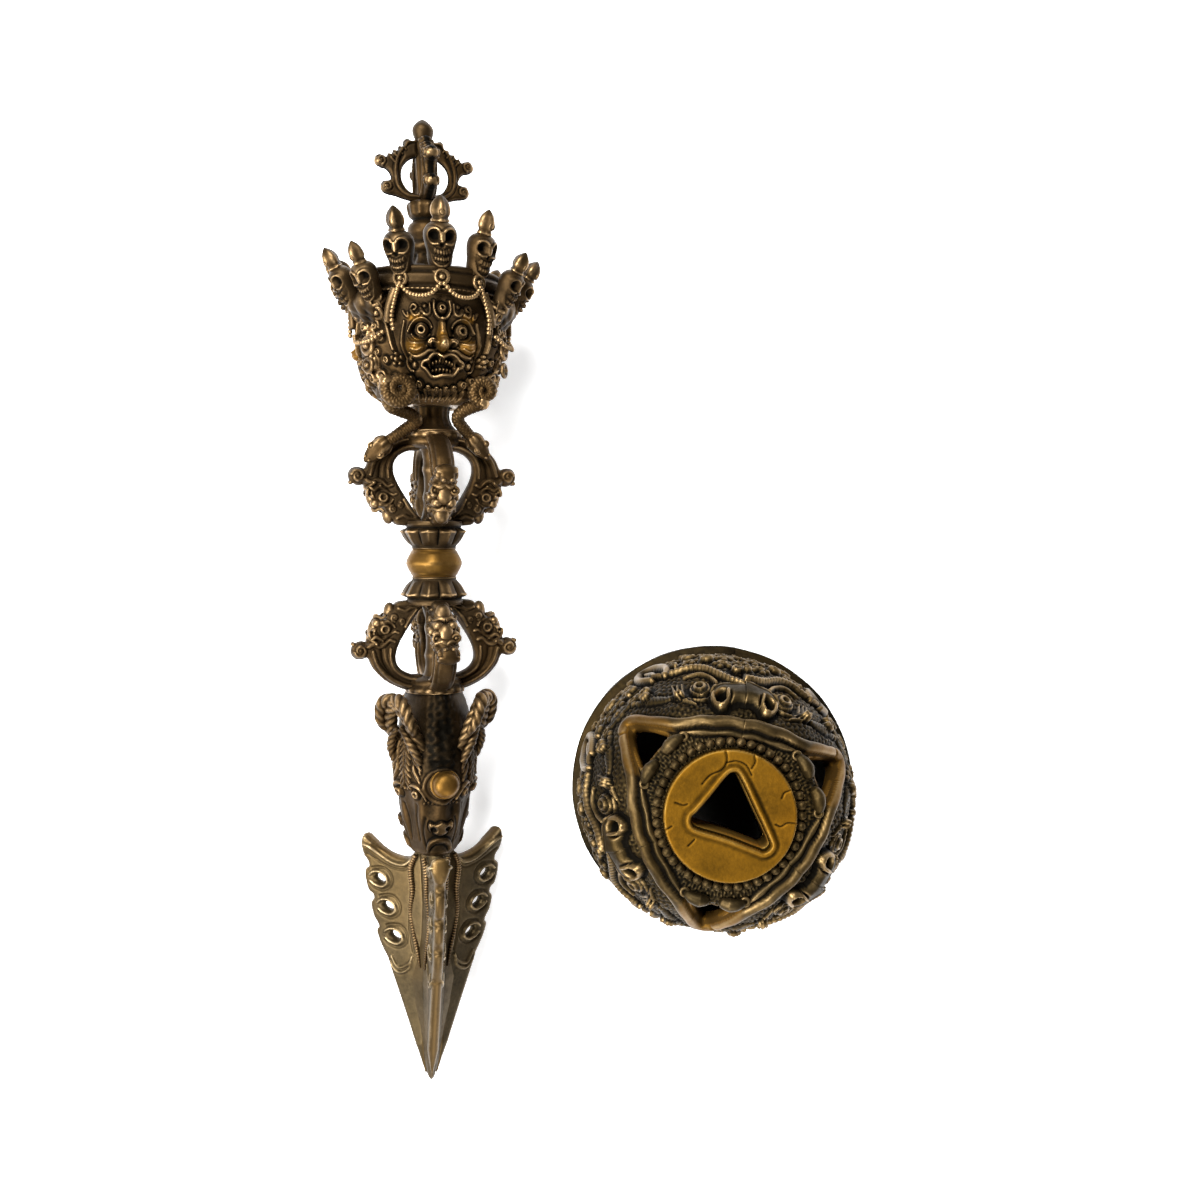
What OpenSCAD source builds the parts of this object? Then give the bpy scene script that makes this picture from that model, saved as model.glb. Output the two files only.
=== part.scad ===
// Three-bladed ritual dagger (phurba) lying beside its domed stand.
// The origin is the centre of the stand's foot, on the table.
// The dagger is drawn upright, tip down and front towards -Y, then rolled and laid down along +Y.
// A "station" is a height above the blade's tip along the dagger's own axis.

/* [Layout] */
// Sideways place of the dagger's axis
dagger_x = -71.8; // [-90:0.1:-68]
// Place of the blade's tip along the table
tip_y = -73.2; // [-90:0.1:-50]
// Turn of the dagger about its own axis as it lies
roll = 17.5; // [10:0.5:25]
// Turn of the blade against the head above it
blade_twist = 6; // [0:0.5:9]
// Turn of the stand on the table
stand_turn = 80.5; // [0:0.5:119]
// Film left between neighbouring pieces
seam = 0.12; // [0.1:0.01:0.2]

/* [Blade] */
// Station of the blade's widest point
blade_len = 59.2; // [56:0.5:68]
// Reach of a wing from the axis
wing_r = 21; // [19:0.5:23]
// Height of the horns above the widest point
horn_h = 4.6; // [3.5:0.1:6]
// Thickness of a wing at the horns
horn_t = 5.2; // [4.4:0.1:6]
// Thickness of a wing along its scalloped edge
edge_t = 3.2; // [2.6:0.1:4]
// Thickness of a wing at its hollow
hollow_t = 2.4; // [2:0.1:3]
// Radius of the core where it meets the head
core_r = 4.4; // [3.6:0.1:5]
// Radius of the pierced scroll holes
pierce_r = 1.5; // [1.1:0.1:1.8]
// Radius of the beaded serpents on the wings
serpent_r = 0.8; // [0.6:0.05:1]

/* [Beast head] */
// Length of the beast head along the axis
beast_len = 39; // [36:0.5:44]
// Radius of the beast's cheeks
beast_r = 10.6; // [9.5:0.1:11.5]
// Reach of the beast's brow from the axis
brow_reach = 13.4; // [12.4:0.1:14.5]
// Radius of the jewel on the brow
jewel_r = 3.7; // [3:0.1:4.2]
// Ring radius of a horn
ram_ring_r = 5; // [4.4:0.1:5.4]
// Rope radius of a horn
ram_rope_r = 1.8; // [1.4:0.1:2]

/* [Grip] */
// Length of each half of the grip, from collar to hub
half_len = 23.5; // [22:0.5:28]
// Reach of a prong's scroll from the axis
prong_r = 20.8; // [19:0.1:22]
// Thickness of a prong at its beast mask
prong_t = 6.4; // [5:0.2:7.4]
// Thickness of a prong's bar
bar_t = 4.2; // [3.4:0.2:4.8]
// Radius of the spindle inside the prongs
spindle_r = 2.2; // [1.6:0.1:2.6]
// Height of a lotus collar
lotus_h = 5.2; // [4.5:0.1:7]
// Radius of a lotus collar at its rim
lotus_r = 7.8; // [7.2:0.1:8.6]
// Petals round a lotus collar
petals = 8; // [6:1:12]
// Radius of the knob
knob_r = 6.9; // [6.2:0.1:8]
// Height of the knob
knob_h = 7; // [6:0.1:9]

/* [Head] */
// Length of the neck
neck_len = 7.5; // [6:0.5:10]
// Radius of the neck
neck_r = 5.2; // [4.6:0.1:5.6]
// Height of the three-faced head
head_h = 24; // [22:0.5:28]
// Distance from the axis to the flat behind a face
flat_r = 9.6; // [9:0.1:10.2]
// Half width of a face
face_w = 10.2; // [9.6:0.1:10.6]
// Depth of a face at its middle
face_depth = 9.4; // [8:0.2:11]

/* [Crown] */
// Height of the crown's band
band_h = 6; // [5:0.5:7]
// Radius of the crown's band
band_r = 18.2; // [17.6:0.1:19]
// Width of a skull
skull_w = 6.6; // [5.6:0.1:6.8]
// Height of a skull without its jewel
skull_h = 9.6; // [8.5:0.1:11]
// Lean of the middle skull over each face
skull_lean = 14; // [8:1:20]
// Lean of the two skulls beside it
side_lean = 23; // [14:1:26]
// Lean of the two lower skulls at each face's corners
corner_lean = 30; // [20:1:36]
// Angle between the middle skull and its neighbours
skull_spread = 30; // [26:1:32]
// Angle of the corner skulls from the middle of the face
corner_spread = 49; // [48:0.5:50]
// Size of a corner skull against an upper one
corner_scale = 0.85; // [0.75:0.05:0.9]

/* [Finial] */
// Length of the turned stem under the finial
stem_len = 18.5; // [17:0.5:24]
// Radius of the stem's bulges
stem_r = 4.3; // [3.6:0.1:5]
// Height of the finial's prongs
finial_h = 15; // [13:0.5:18]
// Reach of the finial's prongs
finial_r = 12; // [10:0.2:13]
// Thickness of the finial's prongs
finial_t = 3; // [2.4:0.1:3.2]
// Height of the bud above the prongs
bud_h = 5; // [4.5:0.5:8]

/* [Stand] */
// Radius of the stand's foot
foot_r = 37; // [35:0.5:40]
// Height of the plain foot band
foot_h = 4.5; // [3:0.5:7]
// Height of the stand
stand_h = 50; // [46:1:56]
// Radius of the dome just above the foot band
belly_r = 34; // [33:0.5:35]
// Radius of the dome's rim
rim_r = 21.5; // [20.5:0.5:22.5]
// Thickness of the cast wall
wall = 3; // [2.4:0.1:4]
// Radius of the top plate
plate_r = 15.4; // [14.5:0.1:16]
// Thickness of the top plate above its seat
plate_h = 4; // [3:0.5:5]
// Distance from the socket's centre to its corners
socket_r = 10; // [9:0.1:10.5]
// Depth of the socket below the plate's seat
socket_depth = 10; // [6:0.5:14]
// Radius of the beads round the plate
bead_r = 1.1; // [0.9:0.05:1.2]
// Beads round the plate
beads = 44; // [36:1:48]
// Width of the lip that runs round the mouths
lip_w = 2.1; // [1.6:0.1:2.6]
// Radius of a beast's eyeball on the stand
eye_r = 2.4; // [2:0.1:2.8]

/* [Hidden] */
$fn = 48;
PART_COLOURS = ["#5a4426", "#8c6a2c", "#7d6b4a", "#46351f"];
dark_bronze = PART_COLOURS[0];
worn_bronze = PART_COLOURS[1];
bright_bronze = PART_COLOURS[2];
deep_bronze = PART_COLOURS[3];
faces = 3;
prongs = 4;

// Stations along the dagger, each from the one below it
s_beast = blade_len + 1.4;
s_hub = s_beast + beast_len;
s_low_lotus = s_hub + half_len;
s_knob = s_low_lotus + lotus_h;
s_high_lotus = s_knob + knob_h;
s_high = s_high_lotus + lotus_h;
s_neck = s_high + half_len;
s_head = s_neck + neck_len;
s_band = s_head + head_h;
s_crown = s_band + band_h;
s_finial = s_crown + stem_len;

// Feet of the skulls: (radius, station) on the band's top, and on the lobes at its corners
bud_r = 0.27 * skull_w;
upper_foot = [band_r - 1.9, s_crown];
corner_foot = [band_r + 1.6, s_band - 1.5];

// The dagger rests on the bud of the skull that hangs lowest, and on a scroll of the lower vajra or on a wing,
// whichever reaches the table first
wing_lean = 60 - roll + blade_twist;
wing_drop = wing_r * cos(wing_lean) + horn_t / 2 * sin(wing_lean);
mask_level = 0.44;
s_prong = s_hub + mask_level * half_len;
prong_drop = prong_r * cos(roll) + 0.36 * prong_t * sin(roll);
bud_neck = 0.86 * bud_r;
bud_centre = corner_scale * (skull_h + 2.6);
crown_reach = corner_foot.x + bud_centre * sin(corner_lean) + corner_scale * bud_neck * cos(corner_lean);
crown_drop = crown_reach * cos(roll - (60 - corner_spread));
s_contact = corner_foot.y + bud_centre * cos(corner_lean) - bud_r * sin(corner_lean);
pitch = atan(min((crown_drop - wing_drop) / (s_contact - blade_len),
    (crown_drop - prong_drop) / (s_contact - s_prong)));
tip_z = crown_drop * cos(pitch) - s_contact * sin(pitch) + seam;

// Small helpers

function unit(v) = v / norm(v);
function mix(a, b, t) = a + (b - a) * t;
function hump(t) = exp(-t * t);
function polar(r, a) = [r * sin(a), -r * cos(a)];
function arc(centre, r, from, to, steps) =
    [for (i = [0 : steps]) centre + r * [cos(from + (to - from) * i / steps), sin(from + (to - from) * i / steps)]];

// Repeats its children round the axis
module around(count, start = 0) {
    for (k = [0 : count - 1]) rotate([0, 0, start + 360 * k / count]) children();
}

// Stands a sketch of (radius, station) up on the front side, extruded across its thickness
module radial(thick) {
    rotate([0, 0, -90]) rotate([90, 0, 0]) linear_extrude(height = thick, center = true) children();
}

// Stands a sketch of (sideways, station) up, extruded from the axis to the front
module frontal(depth) {
    rotate([90, 0, 0]) linear_extrude(height = depth) children();
}

// Round bar along a list of points, with one radius for each, as one closed skin
module tube(path, radii, sides) {
    n = len(path);
    tangents = [for (i = [0 : n - 1]) unit(path[min(i + 1, n - 1)] - path[max(i - 1, 0)])];
    first = abs(tangents[0].z) < 0.8 ? [0, 0, 1] : [1, 0, 0];
    sides_u = [for (i = 0, u = unit(first - tangents[0] * (first * tangents[0]));
                i < n;
                i = i + 1, u = i < n ? unit(u - tangents[i] * (u * tangents[i])) : u) u];
    rings = [for (i = [0 : n - 1]) let (u = sides_u[i], v = cross(tangents[i], u))
        [for (k = [0 : sides - 1]) path[i] + radii[i] * (u * cos(360 * k / sides) + v * sin(360 * k / sides))]];
    points = [for (ring = rings) each ring];
    walls = [for (i = [0 : n - 2], k = [0 : sides - 1]) let (a = i * sides + k, b = i * sides + (k + 1) % sides)
        each [[a, a + sides, b], [b, a + sides, b + sides]]];
    caps = [for (k = [1 : sides - 2]) each [[0, k, k + 1],
        [(n - 1) * sides, (n - 1) * sides + k + 1, (n - 1) * sides + k]]];
    polyhedron(points = points, faces = concat(walls, caps));
}

// Carries the upright dagger to the place where it lies
module lay_down(twist = 0) {
    translate([dagger_x, tip_y, tip_z]) rotate([pitch - 90, 0, 0]) rotate([0, 0, roll - twist]) children();
}

// Blade

lobe_stations = [for (f = [0.52, 0.665, 0.795, 0.92]) f * blade_len];
lobe_radii = [for (f = [0.55, 0.71, 0.81, 0.885]) f * wing_r];
lobe_swell = 0.55;
notch = 0.75;

function lobe(i) = [for (t = [0.06 : 0.188 : 1]) [
    mix(lobe_radii[i], lobe_radii[i + 1], t) + lobe_swell * sin(180 * t),
    mix(lobe_stations[i], lobe_stations[i + 1], t)]];

// One wing seen flat: straight cutting edge, three scalloped lobes and a horn over a round notch
wing_outline = concat(
    [[0, 0], [0.9, 0], [0.33 * wing_r, 0.23 * blade_len], [lobe_radii[0] + notch, lobe_stations[0]],
        [lobe_radii[0] - notch, lobe_stations[0] + 0.3]],
    lobe(0), [[lobe_radii[1] - notch, lobe_stations[1]]],
    lobe(1), [[lobe_radii[2] - notch, lobe_stations[2]]],
    lobe(2), [[lobe_radii[3] - notch, lobe_stations[3]], [lobe_radii[3] + 0.4, lobe_stations[3] + 0.8]],
    [[wing_r - 0.5, blade_len - 2], [wing_r, blade_len], [wing_r - 0.7, blade_len + 0.65 * horn_h],
        [wing_r - 1.9, blade_len + horn_h], [wing_r - 3.1, blade_len + 0.6 * horn_h]],
    arc([wing_r - 9.6, blade_len + 4.4], 7.2, -22, -135, 7),
    [[0, blade_len - 0.3]]);

// Thickness of a wing seen from its edge, and thickness from the axis outwards
wing_front = [[-0.7, 0], [0.7, 0], [edge_t / 2, 0.4 * blade_len], [edge_t / 2 + 0.1, lobe_stations[3]],
    [horn_t / 2, blade_len], [horn_t / 2 - 0.7, blade_len + horn_h], [-horn_t / 2 + 0.7, blade_len + horn_h],
    [-horn_t / 2, blade_len], [-edge_t / 2 - 0.1, lobe_stations[3]], [-edge_t / 2, 0.4 * blade_len]];
function wing_half(r) = r < 0.3 * wing_r ? mix(horn_t / 2, hollow_t / 2, r / (0.3 * wing_r))
    : mix(hollow_t / 2, horn_t / 2, max(0, (r - 0.55 * wing_r) / (0.45 * wing_r)));
wing_section_steps = [for (f = [0 : 0.125 : 1.06]) f * (wing_r + 1)];
wing_section = concat([for (r = wing_section_steps) [wing_half(r), -r]],
    [for (i = [len(wing_section_steps) - 1 : -1 : 0]) [-wing_half(wing_section_steps[i]), -wing_section_steps[i]]]);

pierce_stations = [for (i = [0 : 2]) mix(lobe_stations[i], lobe_stations[i + 1], 0.82)];
function pierce_radius(i) = mix(lobe_radii[i], lobe_radii[i + 1], 0.8) - 4.6;

// Comma-shaped sunk scroll that runs from a pierced hole out to its notch
module scroll_sink(i) {
    centre = [pierce_radius(i), pierce_stations[i]];
    translate(centre) circle(r = pierce_r + 0.9, $fn = 40);
    polygon([centre + [0.3, pierce_r + 0.7], centre + [3.2, pierce_r + 1.3],
        [lobe_radii[i + 1] + 2, lobe_stations[i + 1] + 0.4], [lobe_radii[i + 1] + 2, lobe_stations[i + 1] - 1.2],
        centre + [2.3, 0.4]]);
}

module wing() {
    difference() {
        intersection() {
            radial(horn_t + 2) polygon(wing_outline);
            frontal(wing_r + 1) polygon(wing_front);
            linear_extrude(height = blade_len + horn_h + 1) polygon(wing_section);
        }
        for (i = [0 : 2]) {
            radial(horn_t + 4) translate([pierce_radius(i), pierce_stations[i]]) circle(r = pierce_r);
            for (side = [-1, 1]) translate([side * (hollow_t / 2 - 0.35 + (horn_t + 2) / 2), 0, 0])
                radial(horn_t + 2) scroll_sink(i);
        }
        // Crescent cut under the lowest lobe
        for (side = [-1, 1]) translate([side * (hollow_t / 2 - 0.35 + (horn_t + 2) / 2), 0, 0])
            radial(horn_t + 2) difference() {
                translate([lobe_radii[0] - 1.6, lobe_stations[0] + 3.4]) circle(r = 4.6, $fn = 40);
                translate([lobe_radii[0] - 1.2, lobe_stations[0] + 4.9]) circle(r = 4.9, $fn = 40);
            }
    }
}

module blade() {
    color(bright_bronze) {
        around(faces) wing();
        cylinder(h = s_beast, r1 = 0.75, r2 = core_r);
    }
}

// A beaded serpent winds down each side of each wing, close to the core
serpent_steps = 11;
function serpent_reach(t) = core_r + 1.9 + 1.9 * sin(360 * t + 40) * (1 - 0.45 * t) - 3.1 * t * t;
function serpent_point(t, side) = let (r = serpent_reach(t), s = mix(blade_len - 3.5, 0.44 * blade_len, t))
    [side * (min(wing_half(r), mix(0.7, edge_t / 2, min(1, s / (0.4 * blade_len))) + 0.12) + serpent_r + seam), -r, s];

module wing_serpents() {
    color(dark_bronze) around(faces) for (side = [-1, 1])
        difference() {
            tube([for (i = [0 : serpent_steps]) serpent_point(i / serpent_steps, side)],
                [for (i = [0 : serpent_steps]) serpent_r * mix(1, 0.6, i / serpent_steps)], 6);
            cylinder(h = blade_len, r1 = 0.75 + seam, r2 = core_r + seam);
        }
}

// Beast head over the blade, facing the front

muzzle_reach = 0.72 * brow_reach;
jewel_s = s_beast + 0.46 * beast_len;

// Side view of the face: jaw, nostril, bridge, flat seat for the jewel, then the forehead
beast_side = [[0, s_beast], [0.5 * muzzle_reach, s_beast], [0.92 * muzzle_reach, s_beast + 1.5],
    [muzzle_reach, s_beast + 4.2], [0.93 * muzzle_reach, s_beast + 6], [0.82 * muzzle_reach, s_beast + 9],
    [0.86 * muzzle_reach, jewel_s - 6], [brow_reach, jewel_s - 2.6], [brow_reach, jewel_s + 2.8],
    [0.88 * brow_reach, jewel_s + 8], [0.78 * brow_reach, s_beast + 0.88 * beast_len], [0, s_beast + 0.9 * beast_len]];
beast_front = [for (side = [1, -1]) for (p = side > 0
        ? [[3, 0], [4.9, 1.5], [5.6, 4.5], [4.7, 7], [6.2, 11], [7.4, 16], [7.6, 23], [6.6, 29], [6.4, 35.2]]
        : [[6.4, 35.2], [6.6, 29], [7.6, 23], [7.4, 16], [6.2, 11], [4.7, 7], [5.6, 4.5], [4.9, 1.5], [3, 0]])
    [side * p.x * beast_r / 10.6, s_beast + p.y * beast_len / 39]];

module beast_skull() {
    r = beast_r;
    h = beast_len;
    rotate_extrude() polygon([[0, s_beast], [0.55 * r, s_beast], [0.66 * r, s_beast + 0.08 * h],
        [0.7 * r, s_beast + 0.2 * h], [0.82 * r, s_beast + 0.32 * h], [0.97 * r, s_beast + 0.45 * h],
        [r, s_beast + 0.6 * h], [0.98 * r, s_beast + 0.75 * h], [0.86 * r, s_beast + 0.88 * h],
        [0.7 * r, s_hub - 0.05 * h], [0.66 * r, s_hub], [0, s_hub]]);
}

module beast_head() {
    color(deep_bronze) difference() {
        union() {
            beast_skull();
            intersection() {
                radial(3 * beast_r) polygon(beast_side);
                frontal(2 * brow_reach) polygon(beast_front);
            }
            // Cheek scrolls under the eyes
            for (side = [-1, 1]) translate([side * 0.72 * beast_r, -0.55 * beast_r, s_beast + 0.36 * beast_len])
                sphere(r = 3.1);
        }
        // Nostrils and the mouth line that bites the blade
        for (side = [-1, 1]) translate([side * 2.5, -muzzle_reach - 0.3, s_beast + 4.6]) sphere(r = 0.95);
        translate([-10, -muzzle_reach - 2, s_beast + 2]) cube([20, 2.6, 0.7]);
        // Eye hollows beside the jewel
        for (side = [-1, 1]) translate([side * 0.7 * beast_r, -0.92 * beast_r, jewel_s - 1]) sphere(r = 1.9);
    }
}

// The jewel stands on the flat of the brow
module brow_jewel() {
    color(worn_bronze) translate([0, -brow_reach, jewel_s]) rotate([90, 0, 0])
        rotate_extrude() intersection() {
            translate([0, 0.35 * jewel_r]) circle(r = jewel_r);
            square([jewel_r + 1, 2 * jewel_r]);
        }
}

// A roped horn loops out of each side of the forehead
horn_side = 60;
horn_out = 12.5;
module ram_horns() {
    color(dark_bronze) difference() {
        for (side = [-1, 1]) rotate([0, 0, side * horn_side])
            translate([0, -horn_out, s_beast + 0.85 * beast_len]) rotate([-45, 0, 0]) rotate([0, 90, 0])
                rotate([0, 90, 0]) rotate_extrude() translate([ram_ring_r, 0]) circle(r = ram_rope_r, $fn = 32);
        beast_keep_out();
    }
}

// The head's outer shape with the film around it, for pieces that butt against it
module beast_keep_out() {
    grow = 1 + seam / beast_r;
    scale([grow, grow, 1]) beast_skull();
    intersection() {
        radial(3 * beast_r) polygon([for (p = beast_side) [p.x > 0 ? p.x + seam : 0, p.y]]);
        frontal(2 * brow_reach) polygon([for (p = beast_front) [p.x + sign(p.x) * seam, p.y]]);
    }
}

// Grip: two half vajras about a knob. Each half is drawn with its hub at height 0 and its collar at half_len

hub_r = 0.66 * beast_r;
hub_h = 3;
ring_h = 1.6;
bar_in = 4.2;

// Side view of a prong, from the hub over the scrolled mask to the collar
function prong_side(r, h) = let (m = mask_level * h) concat(
    [[bar_in, hub_h], [0.3 * r, hub_h], [0.48 * r, hub_h + 1.2], [0.66 * r, 0.21 * h + 1.6], [0.76 * r, m - 2.2]],
    arc([r - 2, m], 2, -150, 130, 8),
    [[r - 3.9, m + 1.4], [0.8 * r, m + 3], [0.74 * r, m + 5.4], [0.62 * r, m + 7.4], [0.5 * r, m + 9],
        [0.38 * r, h - ring_h], [bar_in, h - ring_h], [bar_in, h - ring_h - 0.8], [0.31 * r, m + 7],
        [0.39 * r, m + 4], [0.42 * r, m + 0.6], [0.41 * r, m - 3], [0.33 * r, hub_h + 3.4], [bar_in, hub_h + 1.6]]);

// Front view of a prong: a slim bar, then a broad mask with cheeks
function prong_front(h) = let (m = mask_level * h, b = bar_t / 2, t = prong_t / 2, half = [[b, 0], [b, m - 3.4],
        [0.8 * t, m - 2.2], [0.72 * t, m], [t, m + 1.6], [0.9 * t, m + 4], [t, m + 5.6], [0.85 * t, m + 8.6], [0.95 * t, h]])
    concat(half, [for (i = [len(half) - 1 : -1 : 0]) [-half[i].x, half[i].y]]);

module prong() {
    difference() {
        intersection() {
            radial(prong_t + 2) polygon(prong_side(prong_r, half_len));
            frontal(prong_r + 2) polygon(prong_front(half_len));
        }
        // Eye hollows, and the curl inside the scroll
        for (side = [-1, 1]) translate([side * (prong_t / 2 + 0.3), -0.66 * prong_r, mask_level * half_len + 3.6])
            sphere(r = 1.1);
        radial(prong_t + 4) translate([prong_r - 1.9, mask_level * half_len + 0.1]) circle(r = 0.7);
    }
}

module half_grip_prongs() {
    color(dark_bronze) around(prongs) prong();
}

module hub() {
    color(deep_bronze) rotate_extrude() polygon([[0, 0], [hub_r, 0], [hub_r + 0.4, 0.8], [hub_r - 0.3, 1.8],
        [hub_r - 0.6, hub_h], [0, hub_h]]);
}

module spindle() {
    color(deep_bronze) translate([0, 0, hub_h]) rotate_extrude() polygon([[0, 0], [spindle_r + 0.8, 0],
        [spindle_r, 2], [spindle_r * 0.8, (half_len - hub_h) / 2], [spindle_r, half_len - hub_h - ring_h - 2],
        [spindle_r + 0.8, half_len - hub_h - ring_h], [0, half_len - hub_h - ring_h]]);
}

// Petals between a ringed disc and the knob. Drawn from the disc (under height 0) to the knob
module lotus() {
    color(dark_bronze) {
        translate([0, 0, -ring_h]) cylinder(h = ring_h, r1 = lotus_r - 0.5, r2 = lotus_r);
        difference() {
            cylinder(h = lotus_h, r1 = lotus_r, r2 = 0.74 * knob_r);
            around(petals) translate([0, -lotus_r - 0.5, -0.2]) rotate([14, 0, 0])
                cylinder(h = lotus_h + 2, r1 = 1.25, r2 = 0.7, $fn = 24);
        }
    }
}

module grip_knob() {
    color(worn_bronze) translate([0, 0, s_knob]) rotate_extrude() polygon([[0, 0], [0.74 * knob_r, 0],
        [0.9 * knob_r, 0.14 * knob_h], [0.98 * knob_r, 0.34 * knob_h], [knob_r, 0.5 * knob_h],
        [0.97 * knob_r, 0.68 * knob_h], [0.88 * knob_r, 0.87 * knob_h], [0.74 * knob_r, knob_h], [0, knob_h]]);
}

// The lower half stands on the beast head, and the upper half hangs mirrored from the neck
module lower_half() {
    translate([0, 0, s_hub]) children();
}
module upper_half() {
    translate([0, 0, s_neck]) mirror([0, 0, 1]) children();
}

// Head with three faces

module neck() {
    color(deep_bronze) translate([0, 0, s_neck]) rotate_extrude() polygon([[0, 0], [hub_r, 0], [neck_r, 0.2 * neck_len],
        [0.82 * neck_r, 0.55 * neck_len], [0.9 * neck_r, neck_len], [0, neck_len]]);
}

block_r = sqrt(flat_r * flat_r + face_w * face_w);
module head_block() {
    color(deep_bronze) intersection() {
        translate([0, 0, s_head]) cylinder(h = head_h, r = block_r);
        translate([0, 0, s_head]) linear_extrude(height = head_h)
            polygon([for (k = [0 : 2]) 2 * flat_r * [sin(60 + 120 * k), -cos(60 + 120 * k)]]);
    }
}

// Depth of a face at u across and v up, each from -1 to 1: a domed oval with brow, eyes, nose, cheeks and mouth
function face_height(u, v) =
    face_depth * (1 - 0.62 * u * u - 0.22 * v * v - 0.16 * u * u * v * v)
    + 2.3 * hump(u / 0.17) * hump((v - 0.08) / 0.2)
    + 1.0 * hump((abs(u) - 0.26) / 0.13) * hump((v - 0.02) / 0.1)
    + 1.3 * hump((abs(u) - 0.46) / 0.17) * hump((v - 0.3) / 0.12)
    + 1.2 * hump((abs(u) - 0.4) / 0.3) * hump((v - 0.6) / 0.09)
    + 1.0 * hump(u / 0.14) * hump((v - 0.66) / 0.16)
    + 1.4 * hump((abs(u) - 0.62) / 0.2) * hump((v + 0.08) / 0.17)
    + 1.1 * hump((v + 0.3) / 0.07) * hump(u / 0.5)
    - 2.0 * hump((v + 0.47) / 0.1) * hump(u / 0.38)
    + 1.2 * hump((v + 0.68) / 0.09) * hump(u / 0.45);

face_columns = 22;
face_rows = 26;
face_top = s_band - 0.4;
face_low = s_head - 1.6;

// A closed relief on a flat back, made by lifting a grid of points off the block's flat
module face_mask() {
    nu = face_columns;
    nv = face_rows;
    outline = function (v) (1 - 0.34 * pow(max(0, -v), 2.2) - 0.05 * max(0, v)) * (face_w - 0.25);
    front = [for (j = [0 : nv], i = [0 : nu]) let (u = 2 * i / nu - 1, v = 2 * j / nv - 1)
        [u * outline(v), -flat_r - max(0.9, face_height(u, v)), mix(face_low, face_top, j / nv)]];
    back = [for (j = [0, nv], i = [0, nu]) let (u = 2 * i / nu - 1) [u * outline(2 * j / nv - 1), -flat_r,
        mix(face_low, face_top, j / nv)]];
    rim_back = [for (p = front) [p.x, -flat_r, p.z]];
    count = (nu + 1) * (nv + 1);
    row = nu + 1;
    skin = [for (j = [0 : nv - 1], i = [0 : nu - 1]) let (a = j * row + i)
        each [[a, a + row, a + 1], [a + 1, a + row, a + row + 1]]];
    under = [for (j = [0 : nv - 1]) let (a = count + j * 2) each [[a, a + 1, a + 2], [a + 1, a + 3, a + 2]]];
    edges = [for (j = [0 : nv]) each [rim_back[j * row], rim_back[j * row + nu]]];
    left = [for (j = [0 : nv - 1]) let (a = j * row, b = count + 2 * j) each [[a, b, a + row], [b, b + 2, a + row]]];
    right = [for (j = [0 : nv - 1]) let (a = j * row + nu, b = count + 2 * j + 1)
        each [[a, a + row, b], [b, a + row, b + 2]]];
    low = concat([for (i = [0 : nu - 1]) [i, i + 1, count]], [[nu, count + 1, count]]);
    high = concat([for (i = [0 : nu - 1]) let (a = nv * row + i) [a + 1, a, count + 2 * nv]],
        [[nv * row + nu, count + 2 * nv, count + 2 * nv + 1]]);
    polyhedron(points = concat(front, edges), faces = concat(skin, under, left, right, low, high));
}

// Scrolled ears and hair in the corners between the faces
corner_r = block_r + seam;
module ear_scrolls() {
    color(dark_bronze) around(faces, 60) for (level = [0.3, 0.49]) let (w = level > 0.4 ? 2.4 : 1.9)
        translate([0, -corner_r, s_head + level * head_h]) rotate([90, 0, 0]) {
            difference() {
                cylinder(h = 2.6, r1 = w, r2 = 0.8 * w);
                translate([0, 0, 1.8]) cylinder(h = 2, r = 0.45 * w);
            }
            cylinder(h = 2.3, r = 0.22 * w);
        }
}

// Serpents: a coil hangs in each corner, then the body crosses the neck and runs out along a prong
coil_r = 3.2;
coil_reach = block_r + 3.4;
coil_s = s_head + 0.06 * head_h;
function serpent_coil(corner, hand) = [for (i = [0 : 11]) let (a = 300 * i / 11 + 20, q = mix(1.2, coil_r, i / 11))
    concat(polar(coil_reach - 0.1 * i, corner) + hand * q * cos(a) * [cos(corner), sin(corner)], [coil_s + q * sin(a)])];
function shoulder_route(corner, bend, out, hand) = concat(serpent_coil(corner, hand), [
    concat(polar(11.8, mix(corner, bend, 0.45)), [s_head - 3.4]),
    concat(polar(9.4, mix(corner, bend, 0.8)), [s_head - 4.4]),
    concat(polar(8.4, mix(bend, out, 0.1)), [s_head - 6]),
    concat(polar(8.8, mix(bend, out, 0.4)), [s_head - 7.4]),
    concat(polar(10, mix(bend, out, 0.75)), [s_neck + 0.3]),
    concat(polar(12.4, out), [s_neck - 3.6]),
    concat(polar(14.4, out), [s_neck - 5.8])]);

module shoulder_serpents() {
    radii = [for (i = [0 : 18]) i < 4 ? mix(0.9, 1.5, i / 4) : i > 16 ? 1.7 - 0.9 * (i - 17) : 1.5];
    color(dark_bronze) {
        tube(shoulder_route(60, 30, 88, -1), radii, 6);
        tube(shoulder_route(-60, -30, -88, 1), radii, 6);
        tube(shoulder_route(180, 200, 182, 1), radii, 6);
    }
}

// Crown

lobe_half_angle = 15;
lobe_drop = 9;
ledge = 2.2;
lobe_low = [block_r + 1.2, s_band - lobe_drop];
lobe_tip = corner_foot + ledge * [cos(corner_lean), -sin(corner_lean)];
lobe_tilt = atan2(lobe_tip.x - lobe_low.x, lobe_tip.y - lobe_low.y);

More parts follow.
